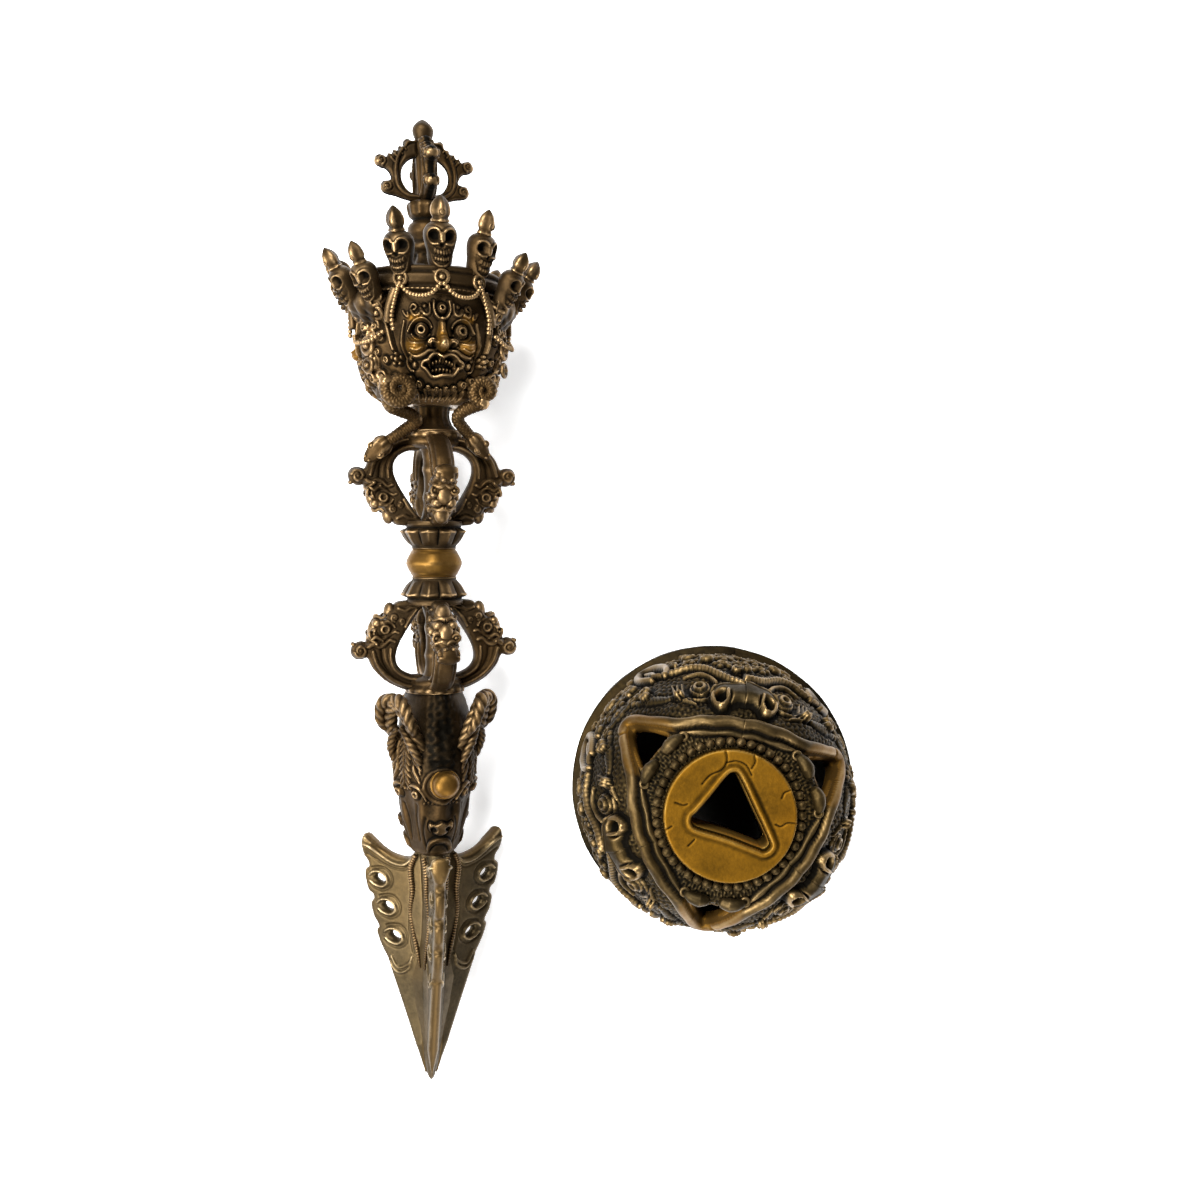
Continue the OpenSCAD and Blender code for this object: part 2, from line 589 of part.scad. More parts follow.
// A band round the block, with a lobe hanging at each corner between two faces
module crown_band() {
    color(dark_bronze) {
        translate([0, 0, s_band]) rotate_extrude() polygon([[0, 0], [block_r, 0], [band_r - 0.2, 0.3 * band_h],
            [band_r + 0.3, 0.6 * band_h], [band_r - 0.1, band_h], [0, band_h]]);
        intersection() {
            rotate_extrude() polygon([[block_r + seam, s_band - lobe_drop], lobe_low, lobe_tip,
                2 * corner_foot - lobe_tip, [band_r - 1.2, s_band + 2], [block_r + seam, s_band + 2]]);
            translate([0, 0, s_band - lobe_drop - 1]) linear_extrude(height = lobe_drop + band_h)
                for (k = [0 : faces - 1]) polygon([[0, 0],
                    for (side = [-1, 1]) polar(40, 60 + 120 * k + side * lobe_half_angle)]);
        }
    }
}

// Ringed jewels, one under each skull
module band_rings() {
    color(dark_bronze) around(faces) {
        for (a = skull_spread * [-1, 0, 1]) rotate([0, 0, a])
            translate([0, -band_r - 0.3 - seam, s_band + 0.6 * band_h]) rotate([90, 0, 0]) jewel_ring();
        for (side = [-1, 1]) rotate([0, 0, side * corner_spread])
            translate([0, -(lobe_low.x + lobe_tip.x) / 2, (lobe_low.y + lobe_tip.y) / 2])
                rotate([90 + lobe_tilt, 0, 0]) translate([0, 0, seam]) jewel_ring();
    }
}

module jewel_ring() {
    difference() {
        cylinder(h = 1.3, r1 = 1.7, r2 = 1.4, $fn = 24);
        translate([0, 0, 0.5]) cylinder(h = 2, r = 0.8, $fn = 24);
    }
}

// One skull, drawn upright with its face to the front, a bud on top and its foot sunk below height 0
module skull(sunk) {
    r = skull_w / 2;
    top = skull_h - r;
    difference() {
        union() {
            translate([0, 0, top]) sphere(r = r);
            translate([0, 0, 1]) cylinder(h = top - 1, r1 = 0.66 * r, r2 = 0.9 * r);
            translate([0, 0, -sunk]) cylinder(h = sunk + 1.4, r = 0.5 * r);
        }
        for (side = [-1, 1]) translate([side * 0.42 * r, -0.92 * r, top - 0.1 * r]) sphere(r = 0.36 * r, $fn = 24);
        translate([0, -r, top - 0.62 * r]) sphere(r = 0.22 * r, $fn = 24);
        for (level = [0.24, 0.36]) translate([-r, -1.1 * r, level * skull_h]) cube([2 * r, 0.45 * r, 0.05 * skull_h]);
    }
    translate([0, 0, skull_h - 0.3]) rotate_extrude($fn = 32)
        polygon([[0, 0], [0.34 * r, 0], [bud_r, 1.4], [bud_neck, 2.9], [0, 4.8]]);
}

// Five skulls to a face: three over it, and a smaller one on the lobe at each corner
module skull_fan(middle) {
    color(dark_bronze) rotate([0, 0, middle]) {
        difference() {
            for (a = skull_spread * [-1, 0, 1]) rotate([0, 0, a])
                translate([0, -upper_foot.x, upper_foot.y]) rotate([a == 0 ? skull_lean : side_lean, 0, 0]) skull(1.5);
            translate([0, 0, s_crown - 5]) cylinder(h = 5, r = 2 * band_r);
        }
        for (side = [-1, 1]) rotate([0, 0, side * corner_spread])
            translate([0, -corner_foot.x, corner_foot.y]) rotate([corner_lean, 0, 0]) scale(corner_scale) skull(0);
    }
}

// Finial

module finial_stem() {
    r = stem_r;
    h = stem_len;
    color(dark_bronze) translate([0, 0, s_crown]) rotate_extrude() polygon([[0, 0], [1.5 * r, 0], [1.35 * r, 0.1 * h],
        [0.86 * r, 0.22 * h], [0.9 * r, 0.32 * h], [0.7 * r, 0.42 * h], [0.98 * r, 0.5 * h], [r, 0.6 * h],
        [0.72 * r, 0.7 * h], [0.74 * r, 0.76 * h], [r, 0.84 * h], [0.96 * r, 0.97 * h], [0.8 * r, h], [0, h]]);
}

function finial_side(r, h) = concat(
    [[1.5, 0], [0.3 * r, 0], [0.5 * r, 0.12 * h]],
    arc([0.76 * r, 0.2 * h], 0.13 * r, -110, 90, 6),
    [[0.66 * r, 0.36 * h], [0.72 * r, 0.46 * h]],
    arc([0.86 * r, 0.52 * h], 0.14 * r, -60, 120, 6),
    [[0.66 * r, 0.66 * h], [0.5 * r, 0.82 * h], [0.36 * r, 0.93 * h], [2.2, h], [2.2, h - 1.6], [0.3 * r, 0.74 * h],
        [0.43 * r, 0.5 * h], [0.42 * r, 0.32 * h], [0.28 * r, 0.14 * h], [1.5, 0.1 * h]]);

module finial_prongs() {
    color(dark_bronze) translate([0, 0, s_finial]) difference() {
        around(prongs) radial(finial_t) polygon(finial_side(finial_r, finial_h));
        translate([0, 0, -1]) cylinder(h = finial_h + 3, r1 = 2.1 + seam, r2 = 2.1 + seam);
    }
}

module finial_spire() {
    color(dark_bronze) translate([0, 0, s_finial]) rotate_extrude() polygon([[0, 0], [2.1, 0], [1.6, 3], [1.7, finial_h - 4],
        [2.1, finial_h - 1.5], [2.1, finial_h], [1.7, finial_h + 0.8], [2.3, finial_h + 0.4 * bud_h],
        [2.1, finial_h + 0.62 * bud_h], [0.4, finial_h + bud_h], [0, finial_h + bud_h]]);
}

// Stand: a hollow cast dome with three beasts whose mouths meet round the plate

seat_z = stand_h - plate_h;
rim_z = seat_z - 1.6;
dome_steps = 14;
function dome_r(z) = let (t = max(0, min(1, (z - foot_h) / (rim_z - foot_h))))
    rim_r + (belly_r - rim_r) * pow(1 - pow(t, 2.2), 0.8);
// Slope of the dome's wall away from upright, at height z
function dome_lean(z) = atan((dome_r(z - 0.5) - dome_r(z + 0.5)) / 1);

module dome_outline(grow) {
    polygon(concat([[0, 0], [foot_r + grow, 0], [foot_r + grow, foot_h - 1], [belly_r + grow, foot_h]],
        [for (i = [1 : dome_steps]) let (z = mix(foot_h, rim_z, i / dome_steps)) [dome_r(z) + grow, z + grow * 0.6]],
        [[rim_r - 1 + grow, rim_z + 0.6 + grow], [plate_r + 2 * bead_r + 1, seat_z + grow], [0, seat_z + grow]]));
}

module dome_hollow() {
    polygon(concat([[0, -1], [foot_r - wall, -1], [foot_r - wall, foot_h - 1]],
        [for (i = [0 : dome_steps]) let (z = mix(foot_h, rim_z - wall, i / dome_steps)) [dome_r(z + wall) - wall, z]],
        [[0, rim_z - wall]]));
}

// Places its children on the dome at an angle from the middle of a beast's face, standing out square to the wall
module on_dome(angle, z) {
    rotate([0, 0, angle]) translate([dome_r(z), 0, z]) rotate([0, 90 - dome_lean(z), 0]) children();
}

module stand_place() {
    rotate([0, 0, stand_turn]) children();
}

corner_high = rim_z - 2.2;
corner_low = mix(foot_h, rim_z, 0.72);

// The open corner of two mouths: a triangle on the slope, cut square through the wall
module mouth_corner(grow) {
    mid = (corner_high + corner_low) / 2;
    rise = (corner_high - corner_low) / 2 / cos(dome_lean(mid));
    on_dome(60, mid) translate([0, 0, -2.5 * wall]) linear_extrude(height = 5 * wall)
        polygon([[-rise - grow, -5.2 - grow], [-rise - grow, 5.2 + grow], [rise * 0.8 + grow, 1 + grow / 2],
            [rise * 0.8 + grow, -1 - grow / 2]]);
}

module stand_shell() {
    color(deep_bronze) stand_place() difference() {
        rotate_extrude($fn = 96) dome_outline(0);
        rotate_extrude($fn = 96) dome_hollow();
        translate([0, 0, rim_z - wall - 1]) cylinder(h = 3 * wall + 4, r = socket_r + 2.4);
        for (k = [0 : 2]) rotate([0, 0, 120 * k]) mouth_corner(0);
    }
}

// Triangle with rounded corners, one towards the middle of each beast's face
module socket_sketch(r) {
    round_r = 1.3;
    inner = r - 2 * round_r;
    for (k = [0 : 2]) translate(inner * [cos(120 * k), sin(120 * k)]) circle(r = round_r, $fn = 32);
    polygon([for (k = [0 : 2]) each [for (side = [-60, 60]) inner * [cos(120 * k), sin(120 * k)]
        + round_r * [cos(120 * k + side), sin(120 * k + side)]]]);
}

module socket_plate() {
    color(worn_bronze) stand_place() difference() {
        union() {
            translate([0, 0, seat_z]) cylinder(h = plate_h - 0.6, r = plate_r);
            translate([0, 0, stand_h - 0.6]) cylinder(h = 0.6, r1 = plate_r, r2 = plate_r - 0.5);
            translate([0, 0, seat_z - socket_depth]) linear_extrude(height = socket_depth + plate_h + 0.5)
                socket_sketch(socket_r + 1.7);
        }
        translate([0, 0, seat_z - socket_depth - 1]) linear_extrude(height = socket_depth + plate_h + 3)
            socket_sketch(socket_r);
    }
}

// Beads stand on the seat round the plate
module bead_ring() {
    color(dark_bronze) stand_place() difference() {
        around(beads) translate([plate_r + seam + bead_r, 0, seat_z + 0.7 * bead_r]) sphere(r = bead_r, $fn = 24);
        translate([0, 0, seat_z - 2 * bead_r]) cylinder(h = 2 * bead_r, r = 2 * plate_r);
    }
}

// Skin of the dome, from its film out to a height, for relief that is cut from it
module dome_skin(height) {
    difference() {
        rotate_extrude($fn = 96) dome_outline(height);
        rotate_extrude($fn = 96) dome_outline(seam);
        translate([0, 0, rim_z - 0.2]) cylinder(h = 20, r = rim_r - 0.8);
        translate([0, 0, -1]) cylinder(h = foot_h + 2, r = 2 * foot_r);
    }
}

// The lip follows the rim over each face and dips down the slope round each open corner
lip_steps = 72;
lip_h = 1.3;
lip_inner = [rim_z + 0.2, corner_low - 0.6];
lip_outer = [rim_z - lip_w, corner_low - 2 * lip_w];
function lip_dip(a) = let (d = abs(a - 60 - 120 * floor(a / 120))) d < 22 ? pow(1 - d / 22, 0.9) : 0;
function lip_plan(a, edge) = dome_r(mix(edge[0], edge[1], lip_dip(a))) * [cos(a), sin(a)];
module lip_rim() {
    color(worn_bronze) stand_place() difference() {
        intersection() {
            dome_skin(lip_h);
            linear_extrude(height = 2 * stand_h) difference() {
                polygon([for (i = [0 : lip_steps - 1]) lip_plan(360 * i / lip_steps, lip_outer)]);
                polygon([for (i = [0 : lip_steps - 1]) lip_plan(360 * i / lip_steps, lip_inner)]);
            }
        }
        for (k = [0 : 2]) rotate([0, 0, 120 * k]) mouth_corner(0);
    }
}

// Two fangs stand on the seat's edge at each open corner
module corner_fangs() {
    color(dark_bronze) stand_place() for (k = [0 : 2], side = [-1, 1]) rotate([0, 0, 60 + 120 * k + 10 * side])
        translate([plate_r + 2 * bead_r + seam + 1.45, 0, seat_z + 0.85]) rotate([-90 * side, 0, 0])
            translate([0, 0, -3]) cylinder(h = 6, r1 = 0.95, r2 = 0.5, $fn = 24);
}

// Bulging eyes under the brows, two to a beast
eye_angle = 21.5;
eye_z = mix(foot_h, rim_z, 0.74);
module stand_eyes() {
    color(dark_bronze) stand_place() difference() {
        for (k = [0 : 2], side = [-1, 1]) on_dome(120 * k + side * eye_angle, eye_z) {
            sphere(r = eye_r);
            cylinder(h = 0.9, r1 = eye_r + 1.3, r2 = eye_r + 0.7);
        }
        rotate_extrude($fn = 96) dome_outline(seam);
    }
}

// A broad nose with open nostrils over each mouth
nose_z = mix(foot_h, rim_z, 0.87);
module stand_noses() {
    color(dark_bronze) stand_place() difference() {
        for (k = [0 : 2]) on_dome(120 * k, nose_z) {
            sphere(r = 2.9);
            for (side = [-1, 1]) translate([0.3, side * 4.2, 0]) sphere(r = 2.3);
        }
        for (k = [0 : 2], side = [-1, 1]) on_dome(120 * k, nose_z) translate([-1, side * 4.6, 2]) sphere(r = 1.1);
        rotate_extrude($fn = 96) dome_outline(seam);
        lip_keep_out();
    }
}

// Space kept round the lip by the pieces beside it
module lip_keep_out() {
    translate([0, 0, rim_z - 3]) cylinder(h = 10, r = rim_r + lip_w + 1.2);
}

// Waved brow ridge over each pair of eyes: its height at an angle from the middle of the face
brow_steps = 20;
brow_half = 38;
brow_wave = [[0, 33.7], [6, 32.2], [11.5, 29.2], [17, 26], [23, 24.9], [29, 25.8], [34, 24.2], [38.5, 21]];
function brow_z(a) = lookup(abs(a), brow_wave) * stand_h / 50;
function brow_line(side) = [for (i = [0 : brow_steps]) let (a = mix(-brow_half, brow_half, i / brow_steps))
    [dome_r(brow_z(a)) * sin(a), brow_z(a) + side * (0.4 + cos(2.2 * a))]];
module stand_brows() {
    color(dark_bronze) stand_place() intersection() {
        dome_skin(1.5);
        for (k = [0 : 2]) rotate([0, 0, 120 * k]) rotate([90, 0, 90]) linear_extrude(height = foot_r + 3)
            polygon(concat(brow_line(1), [for (i = [brow_steps : -1 : 0]) brow_line(-1)[i]]));
    }
}

// Manes: a relief of curls wrapped round the dome under the brows. Each curl is an angle from the
// middle of a face, a height and a radius, and repeats in mirror image on all three faces.
mane_columns = 144;
mane_rows = 18;
mane_back_step = 3;
mane_skin = 0.7;
mane_edge = 0.5;
mane_gap = 0.26;
mane_curl_h = 1.2;
mane_low = foot_h + 1;
mane_edge_line = [[0, 31], [6, 29.4], [11.5, 26.4], [17, 23.2], [29, 22.6], [34, 21.4], [39, 18.6], [42, 24],
    [45, 29], [54, 28.4], [60, 27]];
mane_curl_list = [[2, 26.5, 1.8], [8, 22.8, 1.9], [0, 20.5, 1.9], [14.5, 18.8, 2], [6.5, 16.6, 2],
    [22, 17, 2], [29.5, 17.4, 1.9], [0, 12.4, 2], [13.5, 12, 2.1], [21, 10.4, 2], [7, 8, 2],
    [28.5, 8.6, 2], [34, 13, 2.2], [39, 9, 2.2], [42, 15, 2.2], [40, 20, 1.9], [45, 26.4, 2],
    [51, 24.6, 2.1], [60, 23.6, 2.2], [49, 18.4, 2.1], [56.5, 17.4, 2.2], [50.5, 11.4, 2.2],
    [60, 10.8, 2.4], [54.5, 7, 1.8]];
function face_angle(a) = abs(a - 120 * round(a / 120));
function mane_z(j, a) = mix(mane_low, lookup(face_angle(a), mane_edge_line) * stand_h / 50, j / mane_rows);
function curl_rise(a, z, c) = let (d = norm([(a - c[0]) * PI / 180 * dome_r(z), z - c[1] * stand_h / 50]))
    d < c[2] ? mane_curl_h * sqrt(1 - pow(d / c[2], 2)) : 0;
function mane_height(a, z) = mane_skin + max([for (c = mane_curl_list) curl_rise(face_angle(a), z, c)]);
function mane_point(a, z, h) = [(dome_r(z) + h * cos(dome_lean(z))) * cos(a), (dome_r(z) + h * cos(dome_lean(z))) * sin(a),
    z + h * sin(dome_lean(z))];

module mane_curls() {
    n = mane_columns;
    front = [for (j = [0 : mane_rows], i = [0 : n - 1]) let (a = 360 * i / n, z = mane_z(j, a))
        mane_point(a, z, j == 0 || j == mane_rows ? mane_edge : mane_height(a, z))];
    back_rows = mane_rows / mane_back_step;
    back = [for (j = [0 : back_rows], i = [0 : n - 1]) let (a = 360 * i / n, z = mane_z(j * mane_back_step, a))
        mane_point(a, z, mane_gap)];
    first = len(front);
    function strip(low, high) = [for (i = [0 : n - 1]) let (k = (i + 1) % n)
        each [[low + i, high + i, low + k], [low + k, high + i, high + k]]];
    faces_out = [for (j = [0 : mane_rows - 1]) each strip(j * n, (j + 1) * n)];
    faces_in = [for (j = [0 : back_rows - 1]) each strip(first + (j + 1) * n, first + j * n)];
    color(dark_bronze) stand_place() polyhedron(points = concat(front, back), faces = concat(faces_out, faces_in,
        strip(first, 0), strip(mane_rows * n, first + back_rows * n)));
}

lay_down(blade_twist) blade();
lay_down(blade_twist) wing_serpents();
lay_down() beast_head();
lay_down() brow_jewel();
lay_down() ram_horns();
lay_down() lower_half() hub();  // lower_hub
lay_down() lower_half() half_grip_prongs();  // lower_prongs
lay_down() lower_half() spindle();  // lower_spindle
lay_down() translate([0, 0, s_low_lotus]) lotus();  // lower_lotus
lay_down() grip_knob();
lay_down() translate([0, 0, s_high]) mirror([0, 0, 1]) lotus();  // upper_lotus
lay_down() upper_half() half_grip_prongs();  // upper_prongs
lay_down() upper_half() spindle();  // upper_spindle
lay_down() upper_half() hub();  // upper_hub
lay_down() neck();
lay_down() head_block();
lay_down() color(dark_bronze) face_mask();  // front_face
lay_down() color(dark_bronze) rotate([0, 0, -120]) face_mask();  // left_face
lay_down() color(dark_bronze) rotate([0, 0, 120]) face_mask();  // right_face
lay_down() ear_scrolls();
lay_down() shoulder_serpents();
lay_down() crown_band();
lay_down() band_rings();
lay_down() skull_fan(0);  // front_skulls
lay_down() skull_fan(-120);  // left_skulls
lay_down() skull_fan(120);  // right_skulls
lay_down() finial_stem();
lay_down() finial_prongs();
lay_down() finial_spire();
stand_shell();
socket_plate();
bead_ring();
lip_rim();
corner_fangs();
stand_eyes();
stand_noses();
stand_brows();
mane_curls();
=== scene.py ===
import bpy
import numpy as np
from math import radians, cos, sin, pi
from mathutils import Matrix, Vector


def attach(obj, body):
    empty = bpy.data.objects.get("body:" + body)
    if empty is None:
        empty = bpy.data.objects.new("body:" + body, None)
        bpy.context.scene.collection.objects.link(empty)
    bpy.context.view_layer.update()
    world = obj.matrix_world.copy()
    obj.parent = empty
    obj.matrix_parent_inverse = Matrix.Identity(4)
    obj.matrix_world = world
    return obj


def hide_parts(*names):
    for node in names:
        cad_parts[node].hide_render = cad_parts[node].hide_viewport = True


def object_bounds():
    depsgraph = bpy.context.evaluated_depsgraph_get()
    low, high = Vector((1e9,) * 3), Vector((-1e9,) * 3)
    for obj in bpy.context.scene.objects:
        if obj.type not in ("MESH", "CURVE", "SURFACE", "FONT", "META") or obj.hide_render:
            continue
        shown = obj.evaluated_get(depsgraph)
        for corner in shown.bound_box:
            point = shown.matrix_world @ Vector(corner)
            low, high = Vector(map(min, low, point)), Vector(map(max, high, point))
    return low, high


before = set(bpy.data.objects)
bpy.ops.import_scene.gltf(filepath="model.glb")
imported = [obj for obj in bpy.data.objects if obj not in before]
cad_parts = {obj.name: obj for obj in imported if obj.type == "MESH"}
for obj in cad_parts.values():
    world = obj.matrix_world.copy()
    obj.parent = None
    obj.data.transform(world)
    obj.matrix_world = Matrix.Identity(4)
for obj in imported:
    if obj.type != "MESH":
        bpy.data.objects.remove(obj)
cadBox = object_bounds()
print("frame loaded")

# How the dagger lies. Its pieces are worked out upright, in millimetres, as (across, forward,
# station), where a station is a height above the blade's tip; twist is the blade's turn
# against the head, and bow the sideways bend of the casting over bowReach
lay = dict(x=-71.8, tipY=-73.2, tipZ=14.165, pitch=3.363, roll=17.5, twist=6, shift=0.9,
           bow=1.9, bowMiddle=115, bowReach=120)
station = dict(beast=60.6, hub=99.6, lowLotus=123.1, knob=128.3, highLotus=140.5, neck=164.0,
               head=171.5, crown=201.5, finial=220.0)
# The stand's pieces are worked out round the stand's own axis, then turned by this
standTurn = radians(80.5)


# Where a point of the upright dagger lies on the table: rolled about its axis, tipped down
# along the table, with the slight sideways bow of the casting, and turned into metres
def layDown(p, twist=0.0):
    across, forward, s = p[..., 0], p[..., 1], p[..., 2]
    turn, tip = radians(lay["roll"] - twist), radians(lay["pitch"] - 90)
    bend = lay["bow"] * ((s - lay["bowMiddle"]) / lay["bowReach"]) ** 2
    x = cos(turn) * across + sin(turn) * forward + lay["shift"] - bend
    y = sin(turn) * across - cos(turn) * forward
    out = np.stack([x + lay["x"], y * cos(tip) - s * sin(tip) + lay["tipY"],
                    y * sin(tip) + s * cos(tip) + lay["tipZ"]], -1)
    return out / 1000


# Turns points about the upright axis: x cos - y sin, then x sin + y cos
def spin(p, angle):
    c, s = cos(angle), sin(angle)
    return np.stack([c * p[..., 0] - s * p[..., 1], s * p[..., 0] + c * p[..., 1], p[..., 2]], -1)


# Where a point of the stand lies: turned about its axis, in metres
def standPlace(p):
    return spin(p, standTurn) / 1000


# A smooth curve through the given points: cubic pieces whose slopes are taken from neighbours
def smoothPath(points, per=6, closed=False):
    p = np.array(points, float)
    if closed:
        p = np.concatenate([p[-1:], p, p[:2]])
    else:
        p = np.concatenate([2 * p[:1] - p[1:2], p, 2 * p[-1:] - p[-2:-1]])
    t = np.linspace(0, 1, per, endpoint=False)[None, :, None]
    a, b, c, d = (p[k:len(p) - 3 + k, None] for k in range(4))
    curve = 0.5 * (2 * b + (c - a) * t + (2 * a - 5 * b + 4 * c - d) * t ** 2 + (3 * b - a - 3 * c + d)
                   * t ** 3)
    curve = curve.reshape(-1, p.shape[1])
    return curve if closed else np.concatenate([curve, p[-2:-1]])


# A flat spiral as a path: radius grows evenly with the turn
def spiralPath(centre, inner, outer, turns, start=0.0, hand=1):
    t = np.linspace(0, 1, max(8, int(14 * turns)))
    angle = radians(start) + hand * 2 * pi * turns * t
    r = inner + (outer - inner) * t
    return np.stack([centre[0] + r * np.cos(angle), centre[1] + r * np.sin(angle)], -1)


# Distance from chart points to a path, and the share of the path where the nearest point lies
def alongPath(a, b, path):
    start, step = path[:-1], path[1:] - path[:-1]
    long = np.maximum((step ** 2).sum(-1), 1e-9)
    dx, dy = a[:, None] - start[:, 0], b[:, None] - start[:, 1]
    t = np.clip((dx * step[:, 0] + dy * step[:, 1]) / long, 0, 1)
    gap = np.hypot(dx - t * step[:, 0], dy - t * step[:, 1])
    k = gap.argmin(1)
    rows = np.arange(len(a))
    return gap[rows, k], (k + t[rows, k]) / len(step)


# Relief modelled on a flat chart (a across, b up), as a caster works wax: each tool raises or
# sinks the height near a stroke
class Relief:
    def __init__(self, a, b):
        self.a, self.b = a, b
        self.h = np.zeros_like(a)
        self.ground = self.h.copy()
        self.tint = np.zeros_like(a)

    # The height so far becomes the ground on which the next strokes stand
    def settle(self):
        self.ground = self.h.copy()

    # The chart points inside a box round the given points, wider by the margin
    def near(self, points, margin):
        p = np.atleast_2d(points)
        low, high = p.min(0) - margin, p.max(0) + margin
        return np.nonzero((self.a > low[0]) & (self.a < high[0]) & (self.b > low[1]) & (self.b < high[1]))

    # A ridge with a half-round section along a path; its width follows the list of widths, and
    # a narrow moat is sunk beside it
    def ridge(self, points, width, rise, closed=False, moat=0.25, per=6, sharp=0.5, raw=False):
        path = np.array(points, float) if raw else smoothPath(points, per, closed)
        if closed:
            path = np.concatenate([path, path[:1]])
        widths = np.atleast_1d(np.array(width, float))
        at = self.near(path, widths.max() * 2.2)
        if not len(at[0]):
            return
        gap, t = alongPath(self.a[at], self.b[at], path)
        w = np.interp(t, np.linspace(0, 1, len(widths)), widths) if len(widths) > 1 else widths[0]
        q = gap / np.maximum(w, 1e-6)
        rises = np.atleast_1d(np.array(rise, float))
        r = np.interp(t, np.linspace(0, 1, len(rises)), rises) if len(rises) > 1 else rises[0]
        lifted = self.ground[at] + r * np.maximum(0, 1 - q ** 2) ** sharp
        sunk = self.h[at] - moat * r * np.exp(-((q - 1.25) / 0.35) ** 2) * (q > 0.95)
        self.h[at] = np.where(q < 1, np.maximum(self.h[at], lifted), sunk)

    # A groove along a path: depth times e to the minus (distance / width) squared
    def groove(self, points, width, depth, per=6):
        path = smoothPath(points, per)
        at = self.near(path, width * 2.5)
        if not len(at[0]):
            return
        gap = alongPath(self.a[at], self.b[at], path)[0]
        self.h[at] -= depth * np.exp(-(gap / width) ** 2)

    # A half ball or half egg standing on the ground height, with a moat round it
    def ball(self, centre, radius, rise, tall=1.0, moat=0.25):
        at = self.near(centre, radius * max(1, tall) * 1.8)
        if not len(at[0]):
            return
        q = np.hypot(self.a[at] - centre[0], (self.b[at] - centre[1]) / tall) / radius
        lifted = self.ground[at] + rise * np.sqrt(np.maximum(0, 1 - q ** 2))
        sunk = self.h[at] - moat * rise * np.exp(-((q - 1.2) / 0.25) ** 2)
        self.h[at] = np.where(q < 1, np.maximum(self.h[at], lifted), sunk)

    # A ridge round a circle, or round an ellipse where tall isn't 1
    def ring(self, centre, radius, width, rise, moat=0.25, tall=1.0):
        angle = np.linspace(0, 2 * pi, 25)[:-1]
        circle = np.stack([centre[0] + radius * np.cos(angle), centre[1] + tall * radius * np.sin(angle)],
                          -1)
        self.ridge(circle, width, rise, closed=True, moat=moat, raw=True)

    # A raised flat with rounded edges inside a closed outline
    def slab(self, points, edge, rise):
        outline = smoothPath(points, 6, True)
        at = self.near(outline, edge)
        if not len(at[0]):
            return
        d = insideDistance(self.a[at], self.b[at], outline)
        lifted = self.ground[at] + rise * np.sqrt(1 - (1 - np.clip(d / edge, 0, 1)) ** 2)
        sunk = self.h[at] - 0.2 * rise * np.exp(-((d / edge + 0.35) / 0.25) ** 2)
        self.h[at] = np.where(d > 0, np.maximum(self.h[at], lifted), sunk)

    # A hollow: depth times e to the minus (distance / radius) to a power
    def pit(self, centre, radius, depth, tall=1.0, power=4):
        at = self.near(centre, radius * max(1, tall) * 2)
        if not len(at[0]):
            return
        q = np.hypot(self.a[at] - centre[0], (self.b[at] - centre[1]) / tall) / radius
        self.h[at] -= depth * np.exp(-q ** power)

    # A soft swelling or hollow with no edge: rise times e to the minus (distance / radius) squared
    def mound(self, centre, radius, rise, tall=1.0):
        da, db = self.a - centre[0], self.b - centre[1]
        self.h += rise * np.exp(-(da ** 2 + (db / tall) ** 2) / radius ** 2)

    # A spiral ridge with a ball in its middle
    def spiral(self, centre, outer, width, rise, turns, start, hand):
        path = spiralPath(centre, width * 0.6, outer - width, turns, start, hand)
        self.ridge(path, [width * 0.7, width, width], rise, raw=True)
        self.ball(centre, width * 1.05, rise * 1.15, moat=0)

    # The same stroke on both sides of the chart's middle line
    def both(self, tool, points, *args, **more):
        getattr(self, tool)(points, *args, **more)
        getattr(self, tool)(np.array(points, float) * [-1, 1], *args, **more)


# Gentle unevenness of a hand-finished casting: a sum of a few waves in space
def waver(p, size, amount, seed):
    rng = np.random.default_rng(seed)
    out = np.zeros(p.shape[:-1])
    for k in range(6):
        direction = rng.normal(size=3)
        direction /= np.linalg.norm(direction)
        out += np.sin((p @ direction) / size * (0.8 + 0.9 * k) + rng.uniform(0, 6.28)) / (1 + 0.6 * k)
    return out * amount / 2.4


# Running mean of a grid along one way, closed round or held at its ends
def runningMean(g, reach, way, closed):
    g = np.moveaxis(g, way, 0)
    pad = [g[-reach:], g, g[:reach]] if closed else [np.repeat(g[:1], reach, 0), g,
                                                     np.repeat(g[-1:], reach, 0)]
    total = np.cumsum(np.concatenate(pad), 0)
    total = np.concatenate([np.zeros_like(total[:1]), total])
    wide = 2 * reach + 1
    return np.moveaxis((total[wide:] - total[:-wide]) / wide, 0, way)


# Normals of a grid: the cross product of its steps along the two ways, made one long
def gridNormals(p, closedU, closedV):
    du = np.roll(p, -1, 0) - np.roll(p, 1, 0)
    dv = np.roll(p, -1, 1) - np.roll(p, 1, 1)
    if not closedU:
        du[0], du[-1] = p[1] - p[0], p[-1] - p[-2]
    if not closedV:
        dv[:, 0], dv[:, -1] = p[:, 1] - p[:, 0], p[:, -1] - p[:, -2]
    n = np.cross(du, dv)
    return n / np.maximum(np.linalg.norm(n, axis=-1, keepdims=True), 1e-9)


